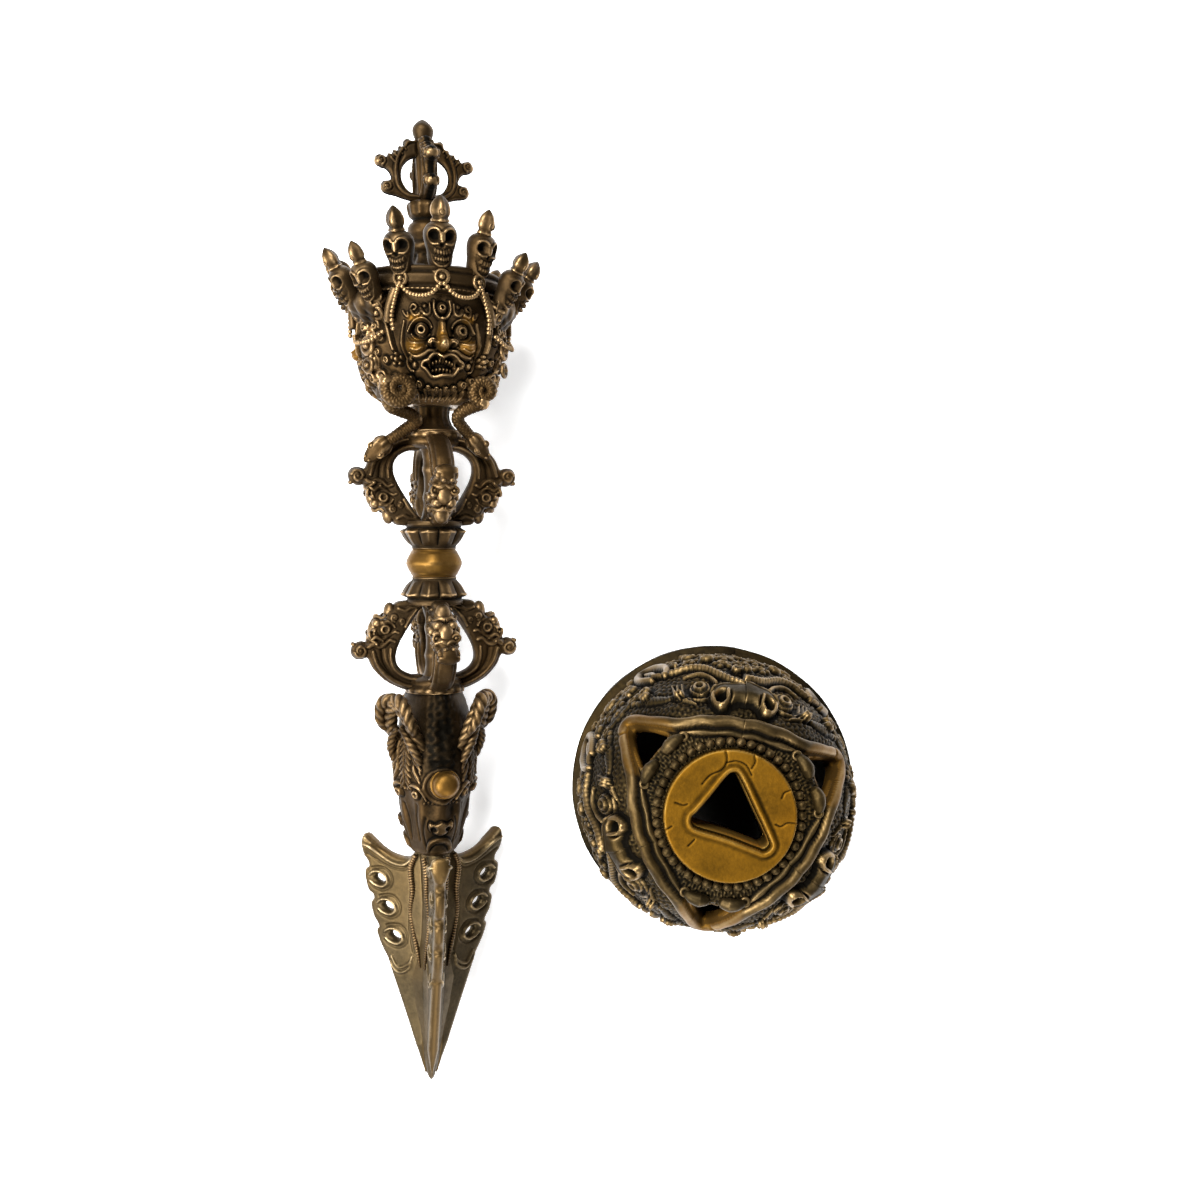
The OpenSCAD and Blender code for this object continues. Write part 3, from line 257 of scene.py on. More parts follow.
# How far each point stands over the mean of its surroundings, in millimetres: above nought on
# ridges, where hands rub the metal bright, and below it in hollows, where the dark patina stays
def rubbed(p, reach, closedU, closedV):
    cellU = np.median(np.linalg.norm(p[1:] - p[:-1], axis=-1))
    cellV = np.median(np.linalg.norm(p[:, 1:] - p[:, :-1], axis=-1))
    nU = int(np.clip(reach / max(cellU, 1e-3), 1, (p.shape[0] - 1) // 2))
    nV = int(np.clip(reach / max(cellV, 1e-3), 1, (p.shape[1] - 1) // 2))
    mean = p
    for way, n, closed in ((0, nU, closedU), (1, nV, closedV), (0, nU, closedU), (1, nV, closedV)):
        mean = runningMean(mean, n, way, closed)
    return ((p - mean) * gridNormals(p, closedU, closedV)).sum(-1)


# One part of a mesh: points, faces, then the fine and broad rub and the gold and shade mark of each point:
# golden wear above nought, a darker colour below it, which is painted shade on the dome's flanks and the
# band's lobes.
# With caps the first and last rows are closed to their middles. Where the volume comes out below
# nought the faces are turned round
def gridPart(p, closedU=False, closedV=False, caps=False, tint=None):
    nu, nv = p.shape[:2]
    u, v = np.arange(nu if closedU else nu - 1), np.arange(nv if closedV else nv - 1)
    uu, vv = np.meshgrid(u, v, indexing="ij")
    u2, v2 = (uu + 1) % nu, (vv + 1) % nv
    quads = np.stack([uu * nv + vv, u2 * nv + vv, u2 * nv + v2, uu * nv + v2], -1).reshape(-1, 4)
    faces = quads.tolist()
    points = p.reshape(-1, 3)
    fine, broad = rubbed(p, 0.35, closedU, closedV).ravel(), rubbed(p, 1.3, closedU, closedV).ravel()
    tint = np.zeros(len(points)) if tint is None else tint.ravel()
    for row in (0, nu - 1) if caps else ():
        middle = points[row * nv:(row + 1) * nv].mean(0)
        points = np.concatenate([points, middle[None]])
        fine, broad, tint = np.append(fine, 0), np.append(broad, 0), np.append(tint, 0)
        centre = len(points) - 1
        ring = [[row * nv + k, row * nv + (k + 1) % nv, centre] for k in range(nv)]
        faces += ring if row == 0 else [f[::-1] for f in ring]
    a, b, c = points[quads[:, 0]], points[quads[:, 1]], points[quads[:, 2]]
    d = points[quads[:, 3]]
    volume = (np.cross(b - a, c - a) * a).sum() + (np.cross(c - a, d - a) * a).sum()
    volume += sum(np.dot(np.cross(points[f[1]] - points[f[0]], points[f[2]] - points[f[0]]), points[f[0]])
                  for f in faces[len(quads):])
    if volume < 0:
        faces = [f[::-1] for f in faces]
        fine, broad = -fine, -broad
    return points, faces, fine, broad, tint


# A skin that is closed round and capped at both ends
def tubePart(p, tint=None):
    return gridPart(p, closedV=True, caps=True, tint=tint)


# Points at a radius, an angle from the front and a height
def aroundAxis(r, angle, height):
    return np.stack([r * np.sin(angle), r * np.cos(angle), height + 0 * r], -1)


# Slot of each finish
slots = dict(dark="dark_bronze", golden="golden_bronze", blade="blade_bronze", olive="olive_bronze",
             plate="golden_bronze")


# Puts a list of parts into one mesh object, placed in metres, on its body and with its finish
def cast(name, parts, nodes, finish="dark", slot=None, body="phurba", place=layDown):
    points, faces, shift = [], [], 0
    for part in parts:
        points.append(part[0])
        faces += [[k + shift for k in face] for face in part[1]]
        shift += len(part[0])
    marks = [np.concatenate([part[k] for part in parts]) for k in (2, 3, 4)]
    points = place(np.concatenate(points))
    mesh = bpy.data.meshes.new(name)
    mesh.from_pydata(points.tolist(), [], faces)
    for label, values in zip(("rub", "swell", "tint"), marks):
        mesh.attributes.new(label, "FLOAT", "POINT").data.foreach_set("value", values.astype(np.float32))
    mesh.polygons.foreach_set("use_smooth", [True] * len(mesh.polygons))
    mesh.materials.append(finishes[finish])
    mesh.update()
    piece = bpy.data.objects.new(name, mesh)
    bpy.context.scene.collection.objects.link(piece)
    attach(piece, body)
    if nodes:
        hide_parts(*nodes)
    slot = slot or slots[finish]
    print(name, len(faces))


# A round bar carried along a path in space: at each point a ring square to the path, its radius
# one number, one for each point, or a table over (along, round)
def sweepPart(path, radius, sides, up=(0, 0, 1), flat=1.0):
    p = np.array(path, float)
    tangent = np.gradient(p, axis=0)
    tangent /= np.maximum(np.linalg.norm(tangent, axis=1, keepdims=True), 1e-9)
    side = np.zeros_like(p)
    guess = np.cross(tangent[0], up)
    if np.linalg.norm(guess) < 1e-3:
        guess = np.cross(tangent[0], (1, 0, 0))
    for k in range(len(p)):
        guess = guess - tangent[k] * np.dot(guess, tangent[k])
        guess = guess / np.linalg.norm(guess)
        side[k] = guess
    other = np.cross(tangent, side)
    angle = np.linspace(0, 2 * pi, sides, endpoint=False)
    r = radius if np.ndim(radius) == 2 else np.broadcast_to(np.reshape(radius, (-1, 1)), (len(p), sides))
    ring = p[:, None] + r[..., None] * (side[:, None] * np.cos(angle)[None, :, None]
                                        + flat * other[:, None] * np.sin(angle)[None, :, None])
    return tubePart(ring)


# The given number of points at even steps along a smooth path
def resample(points, count):
    path = smoothPath(points, 12)
    run = np.concatenate([[0], np.cumsum(np.linalg.norm(path[1:] - path[:-1], axis=1))])
    at = np.linspace(0, run[-1], count)
    return np.stack([np.interp(at, run, path[:, k]) for k in range(path.shape[1])], -1)


# A turned shape: a profile of (radius, height) carried round the axis, with an optional change of
# radius worked out from (angle, height)
def turnedPart(profile, sides, rows, change=None, low=0.0):
    q = resample(profile, rows)
    angle = np.linspace(0, 2 * pi, sides, endpoint=False)[None]
    r = np.maximum(q[:, :1], 0.01) + 0 * angle
    h = q[:, 1:] + 0 * angle
    if change is not None:
        r = np.maximum(r + change(angle + 0 * r, h, r), 0.01)
    return tubePart(aroundAxis(r, angle, h + low))


# A ball, stretched along its three axes
def ballPart(centre, radius, rings=14, sides=20, stretch=(1, 1, 1)):
    t = np.linspace(0.02, pi - 0.02, rings)[:, None]
    angle = np.linspace(0, 2 * pi, sides, endpoint=False)[None]
    p = np.stack([np.sin(t) * np.cos(angle), np.sin(t) * np.sin(angle), np.cos(t) + 0 * angle], -1)
    return tubePart(np.array(centre, float) + radius * p * np.array(stretch))


# A round ring whose plane holds the two given directions
def ringPart(centre, radius, width, axisOne, axisTwo, sides=28, tube=10):
    a = np.linspace(0, 2 * pi, sides, endpoint=False)[:, None, None]
    b = np.linspace(0, 2 * pi, tube, endpoint=False)[None, :, None]
    one, two = np.array(axisOne, float), np.array(axisTwo, float)
    one, two = one / np.linalg.norm(one), two / np.linalg.norm(two)
    out = one * np.cos(a) + two * np.sin(a)
    p = np.array(centre, float) + out * (radius + width * np.cos(b)) + np.cross(one, two) * width * np.sin(b)
    return gridPart(p, closedU=True, closedV=True)


# A part with its points changed by a function
def movePart(part, change):
    return (change(part[0]),) + tuple(part[1:])


# A part turned about the upright axis
def turnPart(part, degrees):
    return movePart(part, lambda q: spin(q, radians(degrees)))


# Signed distance from chart points to a closed outline, above nought inside
def insideDistance(a, b, outline):
    ring = np.concatenate([outline, outline[:1]])
    gap = alongPath(a, b, ring)[0]
    x1, y1, x2, y2 = ring[:-1, 0], ring[:-1, 1], ring[1:, 0], ring[1:, 1]
    crosses = ((y1 > b[:, None]) != (y2 > b[:, None])) & (
        a[:, None] < (x2 - x1) * (b[:, None] - y1) / (y2 - y1 + 1e-12) + x1)
    return np.where(crosses.sum(1) % 2 == 1, gap, -gap)


# A flat casting with relief on both sides: chart squares inside the outline and outside its
# holes are kept, their edge points are pulled onto the outline, and the two sides are joined.
# The thickness is (half + relief) times a quarter round over the width of the edge, and blunt is
# the share that is left at the rim. With openHoles only the edges of the holes are rounded off
def platePart(outline, holes, cell, half, edge, modelRelief, toSpace, openHoles=False, blunt=0.0):
    low, high = outline.min(0) - cell, outline.max(0) + cell
    a, b = np.meshgrid(np.arange(low[0], high[0], cell), np.arange(low[1], high[1], cell), indexing="ij")
    shape = a.shape

    def field(x, y):
        d = insideDistance(x, y, outline)
        for hole in holes:
            d = np.minimum(d, -insideDistance(x, y, hole))
        return d

    x, y = a.ravel().copy(), b.ravel().copy()
    d = field(x, y)
    inside = (d > -0.45 * cell).reshape(shape)
    keep = inside[:-1, :-1] & inside[1:, :-1] & inside[1:, 1:] & inside[:-1, 1:]
    index = np.arange(x.size).reshape(shape)
    quads = np.stack([index[:-1, :-1], index[1:, :-1], index[1:, 1:], index[:-1, 1:]], -1)[keep]
    edges = np.concatenate([quads[:, [k, (k + 1) % 4]] for k in range(4)])
    code = edges.min(1) * x.size + edges.max(1)
    first, count = np.unique(code, return_index=True, return_counts=True)[1:]
    rim = edges[first[count == 1]]
    onRim = np.unique(rim)
    e = 0.05
    for step in range(3):
        gx = (field(x[onRim] + e, y[onRim]) - field(x[onRim] - e, y[onRim])) / (2 * e)
        gy = (field(x[onRim], y[onRim] + e) - field(x[onRim], y[onRim] - e)) / (2 * e)
        length = np.maximum(np.hypot(gx, gy), 0.3)
        x[onRim] -= field(x[onRim], y[onRim]) * gx / length ** 2
        y[onRim] -= field(x[onRim], y[onRim]) * gy / length ** 2
    used = np.unique(quads)
    renumber = np.full(x.size, -1)
    renumber[used] = np.arange(len(used))
    quads, rim = renumber[quads], renumber[rim]
    x, y = x[used], y[used]
    d = np.maximum(field(x, y), 0)
    if openHoles:
        d = np.maximum(np.min([-insideDistance(x, y, hole) for hole in holes], 0), 0)
    rounding = blunt + (1 - blunt) * np.sqrt(np.clip(1 - (1 - np.minimum(d / edge, 1)) ** 2, 0, 1))
    body = half(x, y)
    relief = Relief(x, y)
    modelRelief(relief)
    thick = np.maximum(0.02, (body + relief.h * np.minimum(1, d / (0.6 * edge))) * rounding)
    front, back = toSpace(x, y, thick), toSpace(x, y, -thick)
    n = len(x)
    points = np.concatenate([front, back])
    faces = np.concatenate([quads, quads[:, ::-1] + n,
                            np.stack([rim[:, 1], rim[:, 0], rim[:, 0] + n, rim[:, 1] + n], -1)])
    p0, p1, p2, p3 = (points[faces[:, k]] for k in range(4))
    volume = (np.cross(p1 - p0, p2 - p0) * p0).sum() + (np.cross(p2 - p0, p3 - p0) * p0).sum()
    if volume < 0:
        faces = faces[:, ::-1]
    one, two = quads[:, [0, 1, 2, 3]].ravel(), quads[:, [1, 2, 3, 0]].ravel()
    ends = np.concatenate([one, two])
    other = np.concatenate([two, one])
    near = np.maximum(np.bincount(ends, minlength=n), 1)
    mean, marks = thick.copy(), []
    for step in range(40):
        mean = 0.4 * mean + 0.6 * np.bincount(ends, mean[other], n) / near
        if step in (4, 39):
            marks.append((thick - mean).copy())
    rimLift = np.exp(-(d / (0.5 * edge)) ** 2) * 0.12
    fine, broad = marks[0] + rimLift, marks[1] + rimLift
    if blunt > 0:
        worn = 0.05 * (d < 0.35 * edge)
        fine, broad = np.maximum(fine, worn), np.maximum(broad, worn)
    return points, faces.tolist(), np.tile(fine, 2), np.tile(broad, 2), np.tile(relief.tint, 2)


# Shader maths: a field wraps a socket, and each operator adds its node
class Field:
    def __init__(self, tree, socket):
        self.tree, self.socket = tree, socket

    # Any node: its type, its settings, then values or links for its sockets
    def node(self, kind, settings=None, out=0, **inputs):
        n = self.tree.nodes.new(kind)
        for key, value in (settings or {}).items():
            setattr(n, key, value)
        for key, value in inputs.items():
            numbered = key[0] == "i" and key[1:].isdigit()
            slot = n.inputs[int(key[1:]) if numbered else key.replace("_", " ")]
            if isinstance(value, Field):
                self.tree.links.new(value.socket, slot)
            else:
                slot.default_value = value
        return Field(self.tree, n.outputs[out])

    # One step of arithmetic on fields and numbers
    def maths(self, operation, *values, clamp=False):
        return self.node("ShaderNodeMath", dict(operation=operation, use_clamp=clamp),
                         **{"i%d" % k: v for k, v in enumerate(values)})

    def __add__(self, other):
        return self.maths("ADD", self, other)

    def __radd__(self, other):
        return self.maths("ADD", other, self)

    def __sub__(self, other):
        return self.maths("SUBTRACT", self, other)

    def __rsub__(self, other):
        return self.maths("SUBTRACT", other, self)

    def __mul__(self, other):
        return self.maths("MULTIPLY", self, other)

    def __rmul__(self, other):
        return self.maths("MULTIPLY", other, self)

    def __truediv__(self, other):
        return self.maths("DIVIDE", self, other)

    # Held between nought and one
    def clamp(self):
        return self.maths("ADD", self, 0.0, clamp=True)

    # A smooth step from nought at low to one at high
    def band(self, low, high):
        return self.node("ShaderNodeMapRange", dict(interpolation_type="SMOOTHSTEP"), Value=self,
                         From_Min=low, From_Max=high)

    # Colours are blended by a Mix node: this field is the share of the second
    def blend(self, first, second):
        return self.node("ShaderNodeMix", dict(data_type="RGBA"), out=2, i0=self, i6=first, i7=second)


# A new material with its node tree, its shader and an empty field to start from
def startMaterial(name):
    material = bpy.data.materials.new(name)
    material.use_nodes = True
    tree = material.node_tree
    shader = tree.nodes["Principled BSDF"]
    return material, tree, shader, Field(tree, None)


# A screen colour from 0 to 255 as linear light
def rgb(r, g, b):
    return tuple((c / 255 / 12.92) if c <= 10 else ((c / 255 + 0.055) / 1.055) ** 2.4
                 for c in (r, g, b)) + (1.0,)


# Finishes: colours of the hollows, the open surface, the rubbed ridges and the golden wear; the rise
# in millimetres that counts as a ridge; how rough it is, and how strong its pits are
bronzes = dict(dark=dict(deep=(12, 10, 7), mid=(52, 40, 25), bright=(138, 112, 78), gold=(112, 78, 26),
                         rub=0.27, rough=0.34, bump=0.45),
               golden=dict(deep=(32, 22, 7), mid=(90, 65, 28), bright=(158, 126, 78), gold=(120, 86, 26),
                           rub=0.25, rough=0.3, bump=0.4),
               blade=dict(deep=(22, 19, 13), mid=(68, 58, 41), bright=(146, 126, 94), gold=(112, 80, 34),
                          rub=0.3, rough=0.3, bump=0.4),
               olive=dict(deep=(12, 10, 7), mid=(48, 39, 23), bright=(122, 100, 66), gold=(108, 76, 26),
                          rub=0.3, rough=0.36, bump=0.6),
               plate=dict(deep=(34, 23, 5), mid=(100, 69, 15), bright=(136, 106, 50), gold=(108, 76, 24),
                          rub=0.3, rough=0.46, bump=1.0))


# Cast bronze: dark patina in hollows, brown on the open surface and bright rubbed metal on ridges,
# broken up by cloudy noise, with fine pits in the bump. The metal alone shines, so the coat of
# reflection on what isn't metal is nought
def bronze(name):
    v = bronzes[name]
    material, tree, shader, f = startMaterial(name + "Bronze")
    place = f.node("ShaderNodeTexCoord", out=3)
    rub = f.node("ShaderNodeAttribute", dict(attribute_name="rub"), out=2)
    swell = f.node("ShaderNodeAttribute", dict(attribute_name="swell"), out=2)
    tint = f.node("ShaderNodeAttribute", dict(attribute_name="tint"), out=2)
    cloud = f.node("ShaderNodeTexNoise", Vector=place, Scale=95.0, Detail=5.0, Roughness=0.6)
    fine = f.node("ShaderNodeTexNoise", Vector=place, Scale=900.0, Detail=4.0, Roughness=0.65)
    broad = f.node("ShaderNodeTexNoise", Vector=place, Scale=28.0, Detail=3.0, Roughness=0.5)
    height = rub / v["rub"] + swell / (v["rub"] * 3.2)
    lit = height * 0.5 + 0.36 + (cloud - 0.5) * 0.8 + (fine - 0.5) * 0.4
    low = lit.band(-0.1, 0.66)
    # Above nought the gold and shade mark turns the brown golden, which is golden wear; below nought it dims
    # the bright ridges and darkens the colour towards the hollows' colour, which is painted shade on the
    # dome's flanks and the band's lobes
    high = lit.band(0.6, 1.4) * (tint + 1).clamp()
    warmer = [int(c * k) for c, k in zip(v["mid"], (1.14, 1.08, 0.94))]
    brown = broad.band(0.35, 0.7).blend(rgb(*v["mid"]), rgb(*warmer))
    brown = (tint * (0.75 + cloud * 0.5)).clamp().blend(brown, rgb(*v["gold"]))
    base = (low + tint * 0.6).clamp().blend(rgb(*v["deep"]), brown)
    colour = high.blend(base, rgb(*v["bright"]))
    tree.links.new(colour.socket, shader.inputs["Base Color"])
    rough = (v["rough"] + 0.16 - high * 0.16 + (cloud - 0.5) * 0.2 + (1 - low) * 0.15).clamp()
    tree.links.new(rough.socket, shader.inputs["Roughness"])
    shader.inputs["Specular IOR Level"].default_value = 0.0
    metal = (0.5 + low * 0.4).clamp()
    tree.links.new(metal.socket, shader.inputs["Metallic"])
    bump = f.node("ShaderNodeBump", Strength=v["bump"], Distance=0.00025, Height=fine * 0.6 + cloud * 0.7)
    tree.links.new(bump.socket, shader.inputs["Normal"])
    return material


finishes = {name: bronze(name) for name in bronzes}
print("finishes made")

# The three faces
# Chart of a face: a is the distance round the head from its middle, b the height over the chin line
faceSizes = dict(radius=18.4, columns=216, rows=176, low=-1.4, high=24.9, eyeOut=5.15, eyeUp=15.0)
mouthLoop = smoothPath([(-5.3, 7.0), (-4.8, 7.8), (-3.8, 8.1), (-3.2, 8.8), (-2.4, 9.5), (-1.3, 9.7),
                        (0.0, 8.9), (1.3, 9.5), (2.6, 9.5), (3.5, 8.9), (4.2, 8.1), (4.9, 7.8),
                        (5.4, 7.2), (5.0, 6.5), (4.1, 6.3), (3.6, 5.5), (2.8, 4.7), (1.1, 4.7),
                        (-0.4, 4.6), (-2.0, 4.2), (-3.2, 4.5), (-4.3, 5.9), (-5.1, 6.4)], 4, True)


# The mask, worked from the broad forms down to the hair
def modelFace(r):
    eye = (faceSizes["eyeOut"], faceSizes["eyeUp"])
    r.mound((0, 20), 5.5, 0.6, 0.5)
    r.both("mound", (4.6, 18.2), 2.6, 1.0, 0.5)
    r.both("mound", eye, 2.5, -1.3, 0.75)
    r.both("mound", (6.6, 11.2), 2.2, 1.8, 0.7)
    r.mound((0, 7.2), 5.2, 1.5, 0.62)
    r.mound((0, 3.0), 3.0, 1.0, 0.6)
    r.both("mound", (9.3, 7.5), 1.6, -1.2, 2.2)
    r.settle()
    # nose, wings of the nose and nostrils
    r.ridge([(0, 17.3), (0, 15.2), (0, 13.2), (0, 12.0)], [0.8, 0.95, 1.5, 1.9], [1.0, 1.5, 2.6, 3.0],
            moat=0.08)
    r.ball((0, 11.9), 1.75, 3.5, moat=0.1)
    r.both("ball", (2.5, 12.1), 1.2, 2.1, 0.9)
    r.settle()
    r.both("ridge", [(3.75, 11.3), (3.6, 12.5), (2.7, 13.1), (1.7, 12.9)], 0.36, 0.5)
    r.both("pit", (2.3, 11.5), 0.5, 1.5)
    # eyeballs with ringed pupils under heavy lids
    r.both("ball", eye, 1.8, 1.7, moat=0.4)
    r.settle()
    r.both("ring", eye, 0.85, 0.3, 0.4, moat=0.35)
    r.both("pit", eye, 0.42, 0.9)
    r.both("ridge", [(8.4, 14.6), (7.5, 16.2), (6.1, 17.2), (4.5, 17.3), (3.3, 16.6), (2.7, 15.6)],
           [0.3, 0.5, 0.5, 0.35], 0.9)
    r.both("ridge", [(7.6, 14.0), (6.8, 13.3), (5.4, 12.9), (4.0, 13.2), (3.1, 14.1)],
           [0.25, 0.42, 0.42, 0.3], 0.7)
    r.both("ridge", [(8.7, 13.2), (7.8, 12.2), (6.2, 11.8), (4.7, 12.0)], [0.2, 0.4, 0.25], 0.4)
    # third eye upright on the forehead
    r.ridge([(-1.9, 21.8), (-1.9, 19.6), (-0.9, 17.8), (0.9, 17.8), (1.9, 19.6), (1.9, 21.8)], 0.42, 0.9)
    r.ball((0, 20.1), 1.25, 1.2, 1.15)
    r.settle()
    r.ring((0, 20.1), 0.6, 0.22, 0.3)
    r.pit((0, 20.1), 0.36, 0.7)
    # flaming brows
    r.both("ridge", [(7.7, 20.0), (7.1, 20.9), (6.3, 20.5), (6.4, 19.8), (6.9, 19.6)], 0.36, 0.6)
    r.both("ridge", [(7.6, 19.5), (7.0, 18.5), (6.2, 18.1), (5.4, 18.6), (5.2, 19.3)], 0.38, 0.6)
    r.both("ridge", [(5.2, 19.9), (4.5, 18.9), (4.0, 18.4), (3.2, 18.5), (2.9, 19.4), (3.0, 21.2)],
           [0.4, 0.42, 0.3], 0.6)
    r.both("ridge", [(9.6, 19.4), (9.0, 18.4), (8.2, 18.0), (8.4, 19.0)], 0.34, 0.5)
    r.both("ball", (4.2, 20.6), 0.6, 0.5)
    # moustache and cheek folds
    r.both("ridge", [(8.3, 9.7), (7.6, 9.0), (6.2, 8.8), (4.7, 9.3), (3.3, 10.2), (1.6, 10.5)],
           [0.3, 0.55, 0.45], 0.85)
    r.both("ridge", [(7.9, 10.6), (6.4, 10.1), (4.9, 10.8)], 0.32, 0.5)
    # open mouth: a raised lip, a sunk inside, two rows of teeth and fangs
    sunk = insideDistance(r.a.ravel(), r.b.ravel(), mouthLoop).reshape(r.a.shape)
    r.h = r.h - 2.1 * np.clip(sunk / 0.9, 0, 1) ** 1.2
    r.settle()
    for a in (-2.6, -1.6, -0.6, 0.4, 1.4, 2.4):
        r.ball((a, 6.0 - 0.05 * a * a), 0.5, 1.2, 1.25, moat=0.1)
    for a in (-2.5, -1.6, -0.7, 0.2, 1.1, 2.0, 2.8):
        r.ball((a, 8.1 - 0.09 * a * a), 0.48, 1.3, 1.3, moat=0.1)
    r.both("ridge", [(3.4, 8.0), (3.5, 7.2), (3.3, 6.3)], [0.5, 0.35, 0.1], 1.4, moat=0)
    r.h = np.where((sunk > -0.6) & (sunk < 0.45),
                   np.maximum(r.h, r.ground + 2.1 * np.clip(sunk / 0.9, 0, 1) ** 1.2
                              + 0.85 * np.sqrt(np.maximum(0, 1 - (sunk / 0.45) ** 2))), r.h)
    # curls of the beard
    r.settle()
    for a, b, size in ((-6.4, 2.5, 1.25), (-3.9, 1.6, 1.05), (-1.5, 1.3, 1.0), (1.2, 1.4, 1.0),
                       (3.6, 1.7, 1.05), (6.2, 2.6, 1.25), (-8.9, 3.6, 1.3), (8.9, 3.6, 1.3)):
        r.ball((a, b), size, 0.9, moat=0.4)
        r.spiral((a, b), size, 0.3, 1.25, 1.3, 90 if a < 0 else 60, 1 if a < 0 else -1)
    for a in (-7.6, -5.2, -2.8, -0.2, 2.4, 4.9, 7.5):
        r.ridge([(a, 1.2), (a + 0.3, 0.2), (a - 0.2, -0.9)], [0.65, 0.5, 0.3], 0.8)
    # jaw line curls beside the mouth
    r.both("ball", (7.3, 7.0), 0.85, 1.0)
    r.both("ball", (8.4, 8.4), 0.75, 0.9)
    r.both("ridge", [(7.6, 5.6), (8.7, 6.0), (9.4, 7.2), (9.3, 8.6)], [0.3, 0.5, 0.3], 0.9)
    # earrings: a rod that hangs to a flower, with a fold of hair before it
    r.both("ridge", [(9.2, 17.0), (9.9, 13.8), (10.0, 11.0), (9.4, 8.6)], [0.3, 0.5, 0.3], 0.7)
    r.both("ridge", [(14.2, 18.4), (13.2, 14.8), (12.2, 10.6)], [0.45, 0.5, 0.5], 1.1)
    for turn in range(5):
        way = radians(72 * turn + 18)
        r.both("ball", (11.8 + 1.15 * cos(way), 8.4 + 1.15 * sin(way)), 0.6, 0.9, moat=0.15)
    r.both("ball", (11.8, 8.4), 0.7, 1.3, moat=0.2)
    # curling hair between the faces, in columns that meet their mirror image at the seam
    r.both("mound", (16.4, 12.0), 3.2, 0.9, 1.6)
    for a, b, size, start, hand in ((15.4, 20.6, 2.1, 0, 1), (17.2, 16.4, 1.9, 120, -1),
                                    (16.8, 4.6, 2.0, 20, 1), (13.4, 4.0, 1.4, 300, -1)):
        r.both("ball", (a, b), size, 0.8, moat=0.3)
        r.both("spiral", (a, b), size, 0.46, 1.25, 1.4, start, hand)
    for a, b in ((15.4, 13.4), (17.0, 10.4), (14.8, 8.4)):
        r.both("ball", (a, b), 0.95, 1.1, moat=0.3)
        r.both("ring", (a, b), 0.62, 0.24, 1.15)
    for b in (23.4, 18.6, 13.6, 8.2, 1.6):
        r.both("ball", (19.27, b), 1.5, 1.3, 1.15)
        r.both("ridge", [(18.2, b + 2.0), (17.5, b + 0.2), (18.0, b - 1.4)], [0.25, 0.45, 0.25], 0.7)
    # golden wear on nose, cheeks and chin
    wear = ((0, 13.0, 1.6, 3.4), (6.8, 11.2, 2.4, 2.0), (6.6, 17.8, 2.0, 0.9))
    r.tint = 0.75 * sum(np.exp(-(((np.abs(r.a) - a) / wide) ** 2 + ((r.b - b) / tall) ** 2) ** 2)
                        for a, b, wide, tall in wear)


# A face wraps a third of the head: radius = base curve of the height + relief, less a flat of half
# a millimetre in the middle
def facePart(turn):
    z = faceSizes
    angle = np.linspace(-pi / 3, pi / 3, z["columns"])[:, None]
    b = np.linspace(z["low"], z["high"], z["rows"])[None]
    a, b = z["radius"] * angle + 0 * b, b + 0 * angle
    relief = Relief(a, b)
    modelFace(relief)
    base = np.interp(b, (-1.4, -0.6, 0.6, 2.4, 5.5, 12, 18, 22, 24.9),
                     (9.6, 11.4, 13.0, 14.6, 16.0, 17.6, 17.6, 17.1, 16.6))
    base -= 0.5 * np.exp(-(a / 6.5) ** 2)
    r = base + relief.h
    p = aroundAxis(r, angle, b + station["head"])
    p += 0.04 * waver(p, 1.5, 1, 3)[..., None] * np.stack([np.sin(angle), np.cos(angle), 0 * angle], -1)
    # the border is folded inwards twice, to a rim and to one middle point, so the skin is closed
    for scale, middle in (([0.55, 0.55, 1], 0), (0, [0, 4.0, station["head"] + 12.0])):
        p = np.pad(p, ((1, 1), (1, 1), (0, 0)), mode="edge")
        border = np.ones(p.shape[:2], bool)
        border[1:-1, 1:-1] = False
        p[border] = p[border] * scale + middle
    return turnPart(gridPart(p, tint=np.pad(relief.tint, 2, mode="edge")), turn)


for name, node, turn in (("faceFront", "front_face", 0), ("faceLeft", "left_face", 120),
                         ("faceRight", "right_face", -120)):
    cast(name, [facePart(turn)], [node])


# Crown and skulls
skullSizes = dict(columns=80, rows=76, high=10.0)


